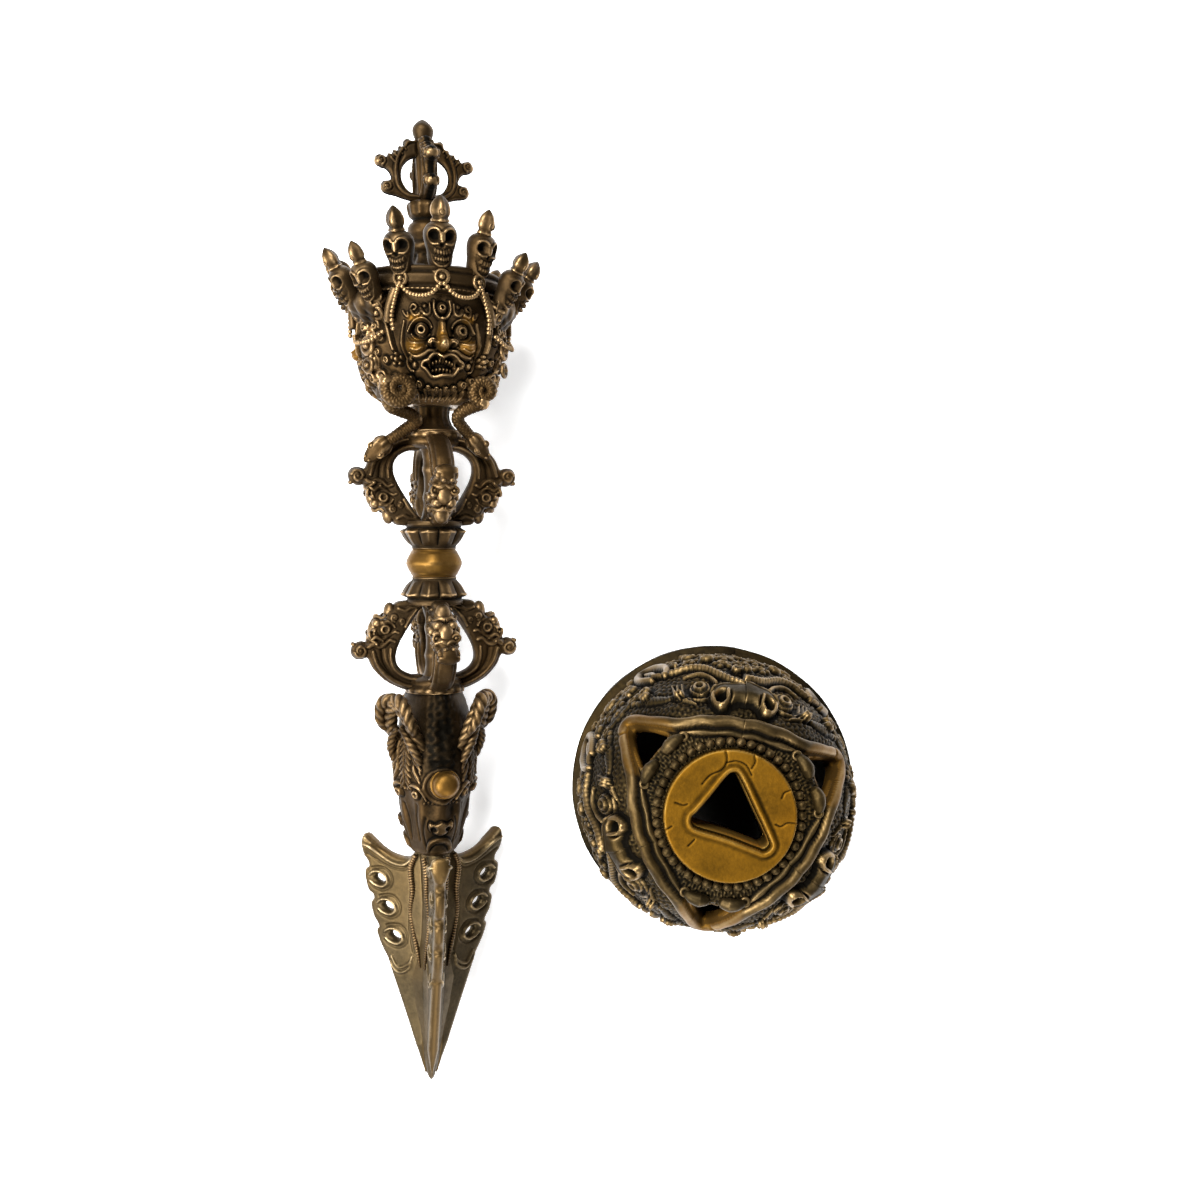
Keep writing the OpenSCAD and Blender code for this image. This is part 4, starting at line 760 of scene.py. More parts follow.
# A skull round its own axis: radius from a profile, wider across than deep, with its face modelled
# on the front half, then a jewelled bud on top
def skullPart():
    angle = np.linspace(-pi, pi, skullSizes["columns"], endpoint=False)[None]
    b = np.linspace(0, skullSizes["high"], skullSizes["rows"])[:, None]
    profile = smoothPath([(0, 1.2), (0.6, 2.2), (2.2, 2.6), (3.6, 2.75), (5.0, 3.15), (6.6, 3.5),
                          (8.0, 3.35), (9.2, 2.5), (9.85, 1.2), (10.0, 0.05)], 8)
    wide = np.interp(b, profile[:, 0], profile[:, 1])
    a = wide * np.sin(angle)
    r = Relief(np.where(np.cos(angle) > 0, a, 99), b + 0 * a)
    r.both("mound", (1.5, 6.9), 1.2, -0.9)
    r.both("mound", (2.5, 5.0), 0.9, 0.6)
    r.mound((0, 2.6), 2.2, 0.6, 0.9)
    r.settle()
    r.both("pit", (1.5, 6.9), 1.1, 1.2, 1.0)
    r.both("ridge", [(0.4, 6.2), (0.5, 7.6), (1.3, 8.4), (2.4, 8.3), (3.1, 7.2), (2.9, 5.9), (2.0, 5.2),
                     (0.9, 5.3)], 0.32, 0.5, moat=0.2)
    r.both("ridge", [(3.2, 6.4), (3.0, 5.0), (2.5, 3.4), (1.8, 1.6), (0.8, 0.8), (0, 0.7)],
           [0.2, 0.35, 0.35], 0.45)
    r.ridge([(0, 7.6), (0, 6.4), (0, 5.7)], [0.2, 0.35, 0.4], 0.5)
    r.pit((0, 5.0), 0.45, 0.7, 1.2)
    for a0 in (-1.5, -0.9, -0.3, 0.3, 0.9, 1.5):
        r.ball((a0, 3.55 + 0.12 * a0 * a0), 0.33, 0.5, 1.9, moat=0.5)
        r.ball((0.9 * a0, 2.05 + 0.1 * a0 * a0), 0.3, 0.45, 1.7, moat=0.5)
    x = wide * np.sin(angle) * 1.02
    y = (0.92 * wide + r.h) * np.cos(angle)
    y = np.where(np.cos(angle) > 0, y, 0.85 * wide * np.cos(angle))
    head = tubePart(np.stack([x, y, b + 0 * x], -1))
    bud = turnedPart([(0.2, 0), (1.7, 0.1), (1.8, 0.5), (1.5, 0.9), (1.9, 1.7), (1.95, 2.8), (1.5, 4.1),
                      (0.6, 5.2), (0.05, 5.6)], 24, 26, lambda t, h, q: 0.12 * q * np.cos(4 * t), low=9.6)
    foot = turnedPart([(1.6, -1.6), (2.4, -1.0), (2.5, -0.4), (1.9, 0.1), (1.7, 0.8)], 28, 10)
    jewel = ringPart((0, 1.9, 11.7), 0.62, 0.26, (1, 0, 0), (0, 0, 1), 18, 8)
    return [head, bud, foot, jewel]


# Scales a part, tips it forward, and stands it at (radius, station) and an angle round the head
def standOut(part, size, lean, out, rise, angle):
    c, s = cos(radians(lean)), sin(radians(lean))

    def change(q):
        x, y, z = (q * size).T
        return spin(np.stack([x, c * y + s * z + out, c * z - s * y + rise], -1), radians(-angle))
    return movePart(part, change)


skull = skullPart()
# Degrees from the front past which a skull lies under the head
underneath = 140
# angle from the middle of a face, radius and station of the foot, lean, size
skullPlaces = ((0, 16.0, 200.8, 14, 1.1), (-30, 16.4, 199.2, 20, 1.04), (33, 16.2, 199.8, 20, 1.06),
               (-49, 19.4, 193.6, 33, 0.94), (49, 19.4, 193.6, 33, 0.94))
sidePlaces = ((0, 17.4, 193.4, 24, 1.0), (-26, 17.6, 193.0, 26, 0.94),
              (26, 17.6, 193.0, 26, 0.94)) + skullPlaces[3:]
for name, node, turn in (("skullsFront", "front_skulls", 0), ("skullsLeft", "left_skulls", -120),
                         ("skullsRight", "right_skulls", 120)):
    parts = []
    for angle, out, rise, lean, size in sidePlaces if turn else skullPlaces:
        # those underneath, on which the dagger rests, are a little smaller
        if abs(angle + turn) > underneath:
            out, lean, size = out - 0.8, lean - 2, 0.95 * size
        parts += [standOut(q, size, lean, out, rise, angle + turn) for q in skull]
    cast(name, parts, [node])


# Band: a turned ring with two grooves and beading; a bracket hangs at each corner for the outer skulls
bandSizes = dict(columns=460, beadPitch=1.25, beadRow=195.9, top=201.4, petals=18, swagBead=0.62)


# The bead line adds half circles round the band, and the petals the root of a cosine on its top
def bandPart():
    angle = np.linspace(0, 2 * pi, bandSizes["columns"], endpoint=False)[None]
    profile = smoothPath([(9.0, 194.9), (14.0, 195.0), (16.8, 195.2), (17.9, 196.0), (17.6, 196.8),
                          (18.3, 197.6), (18.4, 199.2), (17.7, 200.0), (18.2, 200.8), (17.6, 201.5),
                          (15.5, 201.7), (13.4, 201.8), (11.2, 201.7), (9.0, 201.6)], 4)
    b = profile[:, 1][:, None]
    r = profile[:, 0][:, None] + 0 * angle
    beads = np.sqrt(np.maximum(0, 1 - (((angle * 18.3 / bandSizes["beadPitch"]) % 1 - 0.5) / 0.5) ** 2))
    r = r + 0.5 * beads * np.exp(-((b - bandSizes["beadRow"]) / 0.35) ** 2) * (profile[:, 0][:, None] > 16)
    # shallow petals round the stem on the top
    petals = 0.5 * np.abs(np.cos(bandSizes["petals"] / 2 * angle)) ** 0.5 * np.clip((16.8 - r) / 1.5, 0, 1)
    petals = petals * np.clip((r - 9.2) / 2, 0, 1) * (b > bandSizes["top"])
    return tubePart(aroundAxis(r, angle, b + petals))


# A folded lobe of cloth that widens upwards; the folds are two cosines that wind as they rise
def bracketPart():
    path = resample([(0, 14.2, 185.6), (0, 16.0, 188.0), (0, 17.6, 190.6), (0, 19.2, 193.2),
                     (0, 18.6, 195.0)], 46)
    t = np.linspace(0, 1, 46)[:, None]
    angle = np.linspace(0, 2 * pi, 90, endpoint=False)[None]
    wide = np.interp(t, (0, 0.3, 0.6, 0.85, 1), (1.4, 3.6, 5.2, 6.0, 5.6))
    folds = 0.45 * np.cos(9 * angle + 6 * t) + 0.2 * np.cos(14 * angle - 30 * t)
    part = sweepPart(path, wide + folds, 90, up=(0, 0.5, 1), flat=0.42)
    # The whole lobe is darkened, with dimmer bright folds: painted shade
    shade = -0.45
    return part[:4] + (np.full(len(part[0]), shade),)


# A point at an angle round the head, a radius and a station
def roundHead(degrees, out, high):
    return out * sin(radians(degrees)), out * cos(radians(degrees)), high


# Bead swags under the band and beside the temples, as (angle from a face's middle, radius, station)
parts = [bandPart()] + [turnPart(bracketPart(), 60 + 120 * k) for k in range(3)]
for face in range(3):
    for side in (-1, 1):
        for route, count in (([(1.5, 18.9, 197.0), (8, 19.5, 194.6), (16, 19.6, 194.0), (24, 19.4, 194.8),
                               (30, 19.0, 197.0)], 15),
                             ([(31, 19.2, 196.4), (34, 19.4, 193.0), (36, 19.6, 189.6),
                               (35, 19.6, 186.6)], 12),
                             ([(44, 19.4, 186.0), (52, 20.4, 184.2), (60, 20.8, 183.8)], 8)):
            for turn, out, high in resample(route, count):
                parts.append(ballPart(roundHead(side * turn + 120 * face, out, high),
                                      bandSizes["swagBead"], 6, 8))
        bar = [(34, 18.6, 195.8), (38, 19.3, 192.0), (40, 19.4, 188.0)]
        bar = [roundHead(side * turn + 120 * face, out, high) for turn, out, high in bar]
        parts.append(sweepPart(resample(bar, 20), np.linspace(1.1, 0.8, 20), 14))
cast("crownBand", parts, ["crown_band"])

# Ringed jewels on the band and its lobes: angle, radius, station, lean
rings = []
for face in range(3):
    for angle, out, rise, lean in ((0, 18.6, 198.6, 0), (-30, 18.6, 198.2, 0), (30, 18.6, 198.2, 0),
                                   (-49, 19.2, 190.6, -34), (49, 19.2, 190.6, -34)):
        pair = [ringPart((0, 0, 0), 1.45, 0.5, (1, 0, 0), (0, 0, 1)), ballPart((0, 0.1, 0), 0.75, 8, 12)]
        rings += [standOut(q, 1.0, -lean, out, rise, angle + 120 * face) for q in pair]
cast("bandRings", rings, ["band_rings"])

# Serpents of the shoulders
serpentSizes = dict(count=300, sides=40, scaleRow=0.62, scaleRise=0.11)


# A scaly tube: rows of scales run round it, each row shifted by half a scale against the last
def serpentPart(path, widths):
    count, sides = serpentSizes["count"], serpentSizes["sides"]
    p = resample(path, count)
    run = np.concatenate([[0], np.cumsum(np.linalg.norm(p[1:] - p[:-1], axis=1))])
    w = np.interp(np.linspace(0, 1, count), np.linspace(0, 1, len(widths)), widths)[:, None]
    angle = np.linspace(0, 2 * pi, sides, endpoint=False)[None]
    row = run[:, None] / serpentSizes["scaleRow"]
    scale = np.abs(np.sin(pi * row + 0 * angle)) * np.abs(np.cos(4 * angle + (np.floor(row) % 2) * pi / 2))
    return sweepPart(p, w * (0.94 + serpentSizes["scaleRise"] * scale), sides)


# Head of a serpent: an egg with brow, ringed eyes and a mouth line, laid along a direction
def serpentHead(at, toward, size, up):
    toward = np.array(toward, float) / np.linalg.norm(toward)
    across = np.cross(toward, up)
    across /= np.linalg.norm(across)
    top = np.cross(across, toward)
    t = np.linspace(0.03, pi - 0.03, 54)[:, None]
    angle = np.linspace(0, 2 * pi, 64, endpoint=False)[None]
    long = -np.cos(t)
    wide = np.sin(t) * (1 - 0.34 * long)
    r = Relief(long * 2.4 + 0 * angle, 3.0 * np.sin(angle) * wide + 0 * t)
    height = np.cos(angle) * wide
    lid = 0.16 * np.exp(-((np.abs(r.b) - 1.6) / 0.55) ** 2 - ((r.a + 0.2) / 0.9) ** 2) * (height > 0)
    mouth = -0.12 * np.exp(-((height + 0.25) / 0.12) ** 2) * (r.a > -1.0)
    grow = 1 + lid + mouth + 0.05 * np.cos(9 * angle) * (r.a < -0.8)
    p = (np.array(at, float) + size * (toward * (long * 2.0)[..., None]
                                       + across * (np.sin(angle) * wide * grow * 1.12)[..., None]
                                       + top * (height * grow * (0.85 - 0.16 * long))[..., None]))
    parts = [tubePart(p)]
    for side in (-1, 1):
        eye = np.array(at) + size * (toward * 0.15 + across * 0.72 * side + top * 0.62)
        parts += [ballPart(eye, 0.3 * size, 8, 12),
                  ringPart(eye, 0.36 * size, 0.12 * size, toward, across + 0.5 * side * top)]
        nose = np.array(at) + size * (toward * 1.5 + across * 0.3 * side + top * 0.35)
        parts += [ballPart(nose, 0.18 * size, 6, 8)]
    return parts


# A coil as a list of points: the radius grows evenly with the turn, and the middle stands forward
def coilPath(centre, inner, outer, turns, start, hand):
    t = np.linspace(0, 1, 26)
    angle = radians(start) + hand * 2 * pi * turns * t
    r = inner + (outer - inner) * t
    x, y, z = centre[0] + r * np.cos(angle), centre[1] + 0.9 * (1 - t), centre[2] + r * np.sin(angle)
    return list(zip(x, y, z))


# Each serpent's path, the direction and place of its head, and the head's size
serpentRoutes = [
    (coilPath((-9.9, 14.6, 172.9), 0.7, 3.4, 1.75, 60, -1)
     + [(-12.2, 12.6, 169.6), (-9.4, 10.2, 168.4), (-6.4, 8.0, 167.6), (-5.0, 6.8, 166.2),
        (-7.4, 5.6, 164.3), (-10.6, 4.9, 162.0), (-13.0, 4.6, 160.4)],
     (-1.0, -0.08, -0.9), (-14.2, 4.5, 159.2), 2.1),
    (coilPath((10.6, 12.6, 173.2), 0.7, 2.8, 1.4, 120, 1)
     + [(9.0, 10.6, 170.0), (6.0, 8.6, 168.6), (5.2, 6.8, 166.8), (7.4, 5.4, 164.2), (9.4, 4.9, 162.2)],
     (0.75, -0.1, -0.9), (10.8, 4.6, 160.4), 2.0),
    (coilPath((2.0, -15.0, 172.9), 0.7, 3.0, 1.6, 60, 1)
     + [(4.2, -12.6, 169.4), (2.6, -9.2, 168.2), (1.2, -7.4, 166.4), (1.6, -8.4, 163.6),
        (3.2, -10.8, 161.4)],
     (0.3, -0.8, -0.7), (3.9, -12.0, 160.4), 2.0),
]
parts = []
for path, toward, at, size in serpentRoutes:
    parts.append(serpentPart(path, [0.7, 1.45, 1.6, 1.6, 1.6, 1.5, 1.4]))
    parts += serpentHead(at, toward, size, (0, 1, 0.2) if at[1] > 0 else (0, -1, 0.2))
cast("shoulderSerpents", parts, ["shoulder_serpents"])

# Ears' hanging scrolls in the corners: spiral discs that stand out from the hair
parts = []
for k in range(3):
    for level, size in ((7.2, 2.0), (11.8, 2.4)):
        plate = turnedPart([(0.2, -0.5), (0.7 * size, -0.4), (0.75 * size, 0.1), (0.3, 0.3)], 30, 10)
        disc = [ringPart((0, 0, 0), 0.72 * size, 0.26 * size, (1, 0, 0), (0, 0, 1), 36, 12),
                ballPart((0, 0.15 * size, 0), 0.36 * size, 10, 14),
                movePart(plate, lambda q: q[:, [0, 2, 1]])]
        parts += [standOut(q, 1.0, 0, 18.9, station["head"] + level, 60 + 120 * k) for q in disc]
cast("earScrolls", parts, ["ear_scrolls"])

# Prongs of the two half vajras, in side view as (reach, height over the hub): band, mask, curled
# trunk and leaf. Bar and mask are half thicknesses
prongSizes = dict(cell=0.2, bar=2.1, mask=2.9)
prongOutline = smoothPath([(3.2, 0.6), (6.0, 0.5), (8.8, 1.2), (12.8, 3.4), (15.6, 6.5), (16.8, 8.9),
                           (18.3, 8.6), (19.9, 8.9), (20.8, 10.4), (20.3, 12.2), (18.7, 13.0),
                           (17.5, 12.5), (16.9, 14.0), (16.2, 15.0), (16.0, 16.2), (14.6, 17.0),
                           (14.0, 18.4), (12.6, 18.9), (11.9, 20.4), (10.6, 21.2), (9.6, 22.6),
                           (7.4, 23.0), (3.2, 23.0), (3.2, 21.4), (4.6, 19.8), (6.2, 17.2), (7.6, 15.0),
                           (9.0, 12.4), (9.8, 9.9), (9.7, 7.6), (8.4, 5.8), (6.0, 4.6), (3.2, 4.2)], 5,
                          True)


# Half thickness of a prong: the bar's, swelling to the mask's between its heights
def prongHalf(a, b):
    mask = np.clip((b - 11.5) / 3.5, 0, 1) * np.clip((21.5 - b) / 2.5, 0, 1)
    scroll = np.clip((a - 15.5) / 1.5, 0, 1) * np.clip((15 - b) / 2, 0, 1)
    foot = np.clip((6 - a) / 3, 0, 1)
    swelling = (prongSizes["mask"] - prongSizes["bar"]) * mask * (1 - scroll)
    return prongSizes["bar"] + swelling + 0.3 * foot - 0.15 * scroll


# The prong's band, trunk, eye, curls and crest
def modelProng(r):
    r.h += -0.35 * np.exp(-((r.a - 12.0) ** 2 + (r.b - 14.0) ** 2) / 2.2 ** 2)
    r.settle()
    # double grooved band from the hub
    r.ridge([(3.2, 1.6), (7.4, 1.9), (11.6, 4.0), (14.4, 7.2), (15.6, 10.6)], [0.5, 0.6, 0.5], 0.6)
    r.ridge([(3.4, 3.3), (7.0, 3.9), (10.0, 5.8), (11.2, 8.6), (11.2, 11.2)], [0.4, 0.5, 0.3], 0.5)
    r.groove([(3.4, 2.5), (7.2, 2.9), (10.8, 4.9), (12.9, 7.9), (13.4, 11.0)], 0.4, 0.55)
    # curled end of the trunk
    r.spiral((18.6, 10.9), 2.1, 0.5, 0.75, 1.5, 160, 1)
    r.ridge([(16.6, 12.0), (15.4, 12.4), (14.2, 11.8), (12.8, 12.2), (11.6, 13.3), (10.4, 13.0)],
            [0.7, 0.55, 0.45], 0.7)
    r.ridge([(16.2, 13.6), (14.8, 14.2), (13.4, 13.6), (12.0, 14.4), (10.6, 15.4), (9.4, 15.2)],
            [0.5, 0.5, 0.3], 0.6)
    # ringed eye, spirals of cheek and ear, and the long crest that runs to the collar
    r.ball((12.7, 16.1), 1.5, 0.8, moat=0.35)
    r.settle()
    r.ring((12.7, 16.1), 0.95, 0.3, 0.35)
    r.pit((12.7, 16.1), 0.45, 0.5)
    r.ridge([(15.4, 15.8), (14.4, 17.4), (12.8, 18.0), (11.2, 17.6), (10.4, 16.6)], [0.45, 0.55, 0.35], 0.6)
    r.spiral((10.4, 18.9), 1.25, 0.36, 0.6, 1.3, 20, -1)
    r.spiral((8.6, 18.0), 1.0, 0.3, 0.5, 1.2, 200, 1)
    r.ridge([(9.4, 21.2), (7.6, 20.6), (6.2, 21.2), (3.4, 21.8)], [0.4, 0.5, 0.5], 0.5)
    r.ridge([(7.6, 16.6), (6.4, 18.8), (4.6, 20.8)], [0.4, 0.45, 0.4], 0.5)
    for a, b in ((14.8, 12.6), (15.6, 15.0), (13.2, 13.0)):
        r.ball((a, b), 0.42, 0.5, moat=0.1)


# The front of a prong, seen from outside: snout bulb, brow balls, eyes, chevron folds and fan
def prongFront():
    parts = [ballPart((0, 18.3, 11.0), 1.0, 20, 26, (1.9, 2.2, 2.2)),
             ballPart((0, 15.2, 15.6), 1.0, 16, 22, (1.9, 1.5, 2.6)),
             ballPart((0, 11.2, 20.0), 1.0, 16, 22, (1.9, 1.6, 2.6))]
    for side in (-1, 1):
        parts += [ballPart((side * 1.75, 14.6, 17.6), 1.0, 14, 18, (1.25, 1.2, 1.15)),
                  ringPart((side * 2.4, 16.2, 14.7), 0.85, 0.36, (1, 0.35 * side, 0), (0, 0.2, 1)),
                  ballPart((side * 2.4, 16.1, 14.7), 0.5, 8, 10),
                  ballPart((side * 1.0, 20.2, 12.4), 0.55, 8, 10)]
        fold = [(0, 16.6, 13.2), (side * 1.3, 16.5, 13.9), (side * 2.5, 15.6, 13.2),
                (side * 3.1, 14.4, 12.4)]
        parts.append(sweepPart(resample(fold, 22), np.linspace(0.62, 0.3, 22), 10))
        brow = [(0, 14.9, 18.9), (side * 1.2, 14.5, 19.3), (side * 2.4, 13.4, 18.9),
                (side * 3.0, 12.4, 19.6)]
        parts.append(sweepPart(resample(brow, 22), np.linspace(0.6, 0.35, 22), 10))
    return parts


side = platePart(prongOutline, [], prongSizes["cell"], prongHalf, 1.3, modelProng,
                 lambda a, b, t: np.stack([t, a, b], -1), blunt=0.45)
prong = [side] + prongFront()
for name, node, base, flip in (("prongsLower", "lower_prongs", station["hub"], 1),
                               ("prongsUpper", "upper_prongs", station["neck"], -1)):
    for k in range(4):
        parts = []
        for q in prong:
            q = turnPart(q, 90 * k)
            moved = q[0] * [1, 1, flip] + [0, 0, base]
            faces = q[1] if flip > 0 else [f[::-1] for f in q[1]]
            parts.append((moved, faces) + tuple(q[2:]))
        cast("%s%d" % (name, k + 1), parts, [node])


# Hubs, spindles, collars, knob, neck and stem. Ribs round a turned shape between two heights: depth
# times (size of the cosine - 0.6)
def ribs(count, depth, low, high):
    return lambda t, h, r: depth * (np.abs(np.cos(count * t / 2)) - 0.6) * ((h > low) & (h < high))


hubShape = [(0.1, 0), (6.6, 0), (7.2, 0.4), (7.3, 1.0), (6.9, 1.6), (6.6, 2.0), (6.6, 2.6), (6.0, 3.4),
            (4.2, 4.0), (0.1, 4.2)]
cast("hubLower", [turnedPart(hubShape, 120, 46, ribs(16, 0.35, 0.3, 1.5), station["hub"])], ["lower_hub"])
upper = turnedPart([(r, -h) for r, h in hubShape], 120, 46, ribs(16, 0.35, -1.5, -0.3), station["neck"])
cast("hubUpper", [upper], ["upper_hub"])
spindle = [(0.1, 3), (3.2, 3.2), (2.6, 5.0), (2.3, 7.5), (2.6, 9.2), (2.2, 11), (2.2, 14), (2.6, 16),
           (2.3, 18), (3.0, 21), (3.1, 21.9), (0.1, 22)]
cast("spindleLower", [turnedPart(spindle, 40, 50, low=station["hub"])], ["lower_spindle"])
cast("spindleUpper", [turnedPart([(r, -h) for r, h in spindle], 40, 50, low=station["neck"])],
     ["upper_spindle"])


lotusSizes = dict(columns=200, rows=70, petals=9)


# A lotus collar: a ringed disc, then petals with a raised rib each, narrowing to the knob. A petal
# swells as a half circle across its width, and its tip has a scalloped rim
def lotusPart(flip, base):
    angle = np.linspace(0, 2 * pi, lotusSizes["columns"], endpoint=False)[None]
    shape = resample([(0.1, -1.7), (6.4, -1.7), (7.0, -1.3), (7.1, -0.8), (6.8, -0.3), (6.8, 0.0),
                      (7.4, 0.5), (7.6, 1.0), (7.1, 2.0), (6.3, 3.4), (5.4, 4.7), (5.3, 5.2),
                      (0.1, 5.25)], lotusSizes["rows"])
    r, h = shape[:, 0][:, None], shape[:, 1][:, None]
    share = np.clip((h - 0.3) / 4.6, 0, 1) * (r > 3)
    petal = np.abs(((angle * lotusSizes["petals"] / (2 * pi)) % 1) - 0.5) * 2
    swell = np.sqrt(np.maximum(0, 1 - petal ** 2)) - 0.62
    rib = np.exp(-(petal / 0.16) ** 2) * 0.25
    scallop = 0.5 * np.exp(-((h - 0.75 - 0.55 * petal) / 0.3) ** 2)
    fade = np.sin(pi * np.clip(share + 0.12, 0, 1)) ** 0.5
    radius = r + (share > 0) * (1.1 * swell + rib + scallop * (1 - petal)) * fade
    return tubePart(aroundAxis(radius, angle, flip * h + base))


cast("lotusLower", [lotusPart(1, station["lowLotus"])], ["lower_lotus"])
cast("lotusUpper", [lotusPart(-1, station["highLotus"])], ["upper_lotus"])

knobShape = [(0.1, 0), (4.9, 0), (5.4, 0.3), (6.3, 1.5), (6.95, 2.9), (7.05, 3.5), (6.95, 4.1),
             (6.3, 5.5), (5.4, 6.7), (4.9, 7), (0.1, 7)]
knob = turnedPart(knobShape, 110, 80, lambda t, h, r: 0.14 * np.cos(6 * t + 1) * (h > 1) * (h < 6),
                  station["knob"])
cast("gripKnob", [knob], ["grip_knob"], "golden")

neckShape = [(0.1, 0), (6.6, 0), (5.9, 0.8), (5.0, 1.8), (4.4, 3.4), (4.4, 5.2), (4.9, 6.6), (6.4, 7.6),
             (0.1, 7.7)]
neck = turnedPart(neckShape, 110, 46, lambda t, h, r: 0.09 * np.cos(15 * t) * (h > 1) * (h < 7),
                  station["neck"])
cast("neckStem", [neck], ["neck"])

stemShape = [(0.1, 0), (7.4, 0.0), (6.4, 1.2), (4.4, 3.0), (3.5, 4.6), (3.4, 6.0), (4.0, 6.8), (4.2, 7.8),
             (3.6, 8.6), (3.9, 9.6), (4.6, 11.0), (4.4, 12.6), (3.4, 13.6), (3.3, 14.2), (4.2, 15.0),
             (4.5, 16.2), (4.6, 17.4), (3.6, 18.4), (0.1, 18.5)]


# Flutes of the stem: eight low on its flare and twelve on its upper ring
def flutes(t, h, r):
    return 0.22 * np.cos(8 * t) * (h > 1.2) * (h < 5.5) + 0.12 * np.cos(12 * t) * (h > 15) * (h < 18)


cast("finialStem", [turnedPart(stemShape, 110, 100, flutes, station["crown"])], ["finial_stem"])

# Finial, in side view as (reach, height over its foot)
finialSizes = dict(cell=0.16, half=1.45, edge=1.0)
finialOutline = smoothPath([(1.2, 0.0), (3.6, 0.0), (6.2, 0.6), (7.6, 1.0), (8.6, 1.1), (10.2, 1.6),
                            (10.9, 3.0), (10.3, 4.4), (8.9, 4.7), (8.3, 5.2), (8.7, 6.4), (9.6, 7.3),
                            (10.6, 7.5), (11.8, 8.2), (12.1, 9.6), (11.2, 10.7), (9.9, 10.6), (9.2, 10.3),
                            (8.7, 11.2), (7.9, 11.1), (7.4, 12.1), (6.5, 12.0), (6.1, 13.1), (5.2, 13.1),
                            (4.9, 14.4), (4.0, 15.0), (2.8, 14.6), (1.6, 14.8), (1.6, 12.4), (1.6, 10.8),
                            (2.8, 10.3), (4.3, 9.3), (5.4, 7.8), (5.7, 6.0), (5.3, 4.2), (3.9, 2.4),
                            (1.2, 1.6)], 5, True)


# Two curls, the band's ridge and groove, and the notches of the leaf
def modelFinial(r):
    r.spiral((9.2, 2.9), 1.5, 0.36, 0.5, 1.3, 90, -1)
    r.spiral((10.6, 9.1), 1.4, 0.34, 0.5, 1.3, 150, 1)
    r.ridge([(1.6, 1.0), (4.4, 1.2), (6.6, 3.0), (7.2, 6.0), (7.0, 8.6), (6.0, 11.2), (4.2, 13.6),
             (2.0, 14.4)], [0.35, 0.5, 0.4], 0.5)
    r.groove([(5.2, 2.6), (6.2, 5.4), (6.2, 8.2), (5.2, 10.8)], 0.3, 0.25)
    for a, b in ((8.2, 9.8), (7.4, 10.9), (6.4, 11.9), (5.4, 13.0)):
        r.ridge([(a - 0.9, b - 1.0), (a, b)], [0.25, 0.3], 0.4)


side = platePart(finialOutline, [], finialSizes["cell"], lambda a, b: finialSizes["half"] + 0 * a,
                 finialSizes["edge"], modelFinial,
                 lambda a, b, t: np.stack([t, a, b + station["finial"]], -1))
extra = [ballPart((0, 10.9, station["finial"] + 9.1), 1.0, 14, 18, (1.7, 1.3, 1.3)),
         ballPart((0, 9.6, station["finial"] + 2.9), 1.0, 14, 18, (1.7, 1.3, 1.4))]
parts = [turnPart(q, 90 * k) for q in [side] + extra for k in range(4)]
cast("finialProngs", parts, ["finial_prongs"])


# The spire's shaft is nearly square: its radius grows with the cosine of four times the angle
def squared(t, h, r):
    return 0.22 * r * np.maximum(np.cos(4 * t), -0.4) * np.clip((13 - h) / 2, 0, 1)


spire = turnedPart([(0.1, 0), (2.0, 0.1), (1.5, 2.0), (1.6, 6), (1.7, 11), (2.1, 13.6), (2.05, 14.6),
                    (2.1, 15.1), (2.5, 16.3), (2.6, 17.3), (2.3, 18.2), (1.5, 19.1), (0.7, 19.7),
                    (0.1, 20.0)], 64, 90, squared, station["finial"])
cast("finialSpire", [spire], ["finial_spire"])

# Stand
standSizes = dict(foot=37.0, footHigh=4.5, seat=46.0, shoulder=1.6, belly=34.0, rim=21.5, cell=0.31,
                  wall=1.2, edge=0.9)


# Side line of the dome from the plate outwards and down to the table. Its radius grows from the rim
# to the belly as (1 - share of the height to the power 2.2) to the power 0.8
def domeLine():
    z = standSizes
    t = np.linspace(1, 0, 60)
    high = z["footHigh"] + (z["seat"] - z["shoulder"] - z["footHigh"]) * t
    r = z["rim"] + (z["belly"] - z["rim"]) * (1 - t ** 2.2) ** 0.8
    shelf = [(14.5, z["seat"]), (18.6, z["seat"]), (20.5, z["seat"] - 0.6)]
    line = np.concatenate([shelf, np.stack([r, high], -1), [(z["foot"], 3.5), (z["foot"], 0.02)]])
    run = np.concatenate([[0], np.cumsum(np.hypot(*(line[1:] - line[:-1]).T))]) - 0.9
    even = np.linspace(run[0], run[-1], 240)
    return even, np.interp(even, run, line[:, 0]), np.interp(even, run, line[:, 1])


lineRun, lineOut, lineUp = domeLine()
slopeOut = np.gradient(runningMean(lineOut, 4, 0, False))
slopeUp = np.gradient(runningMean(lineUp, 4, 0, False))
slopeLong = np.hypot(slopeOut, slopeUp)


# Chart of a third of the dome: a is half the degrees from the open mouth corner, b the length along
# the side line from the plate; thickness is laid off square to the line
def domeSpace(a, b, t):
    wall = standSizes["wall"]
    off = np.where(t > 0, t - wall, np.maximum(t * 1.5, -1.5 * wall) - wall)
    out = np.interp(b, lineRun, lineOut) - np.interp(b, lineRun, slopeUp / slopeLong) * off
    up = np.interp(b, lineRun, lineUp) + np.interp(b, lineRun, slopeOut / slopeLong) * off
    angle = np.radians(60 + 2 * a)
    return np.stack([out * np.cos(angle), out * np.sin(angle), np.maximum(up, 0.02)], -1)


# Points given as (degrees from the middle of a beast's face, length down the dome)
def onFace(*points):
    return [((60 - angle) / 2, b) for angle, b in points]


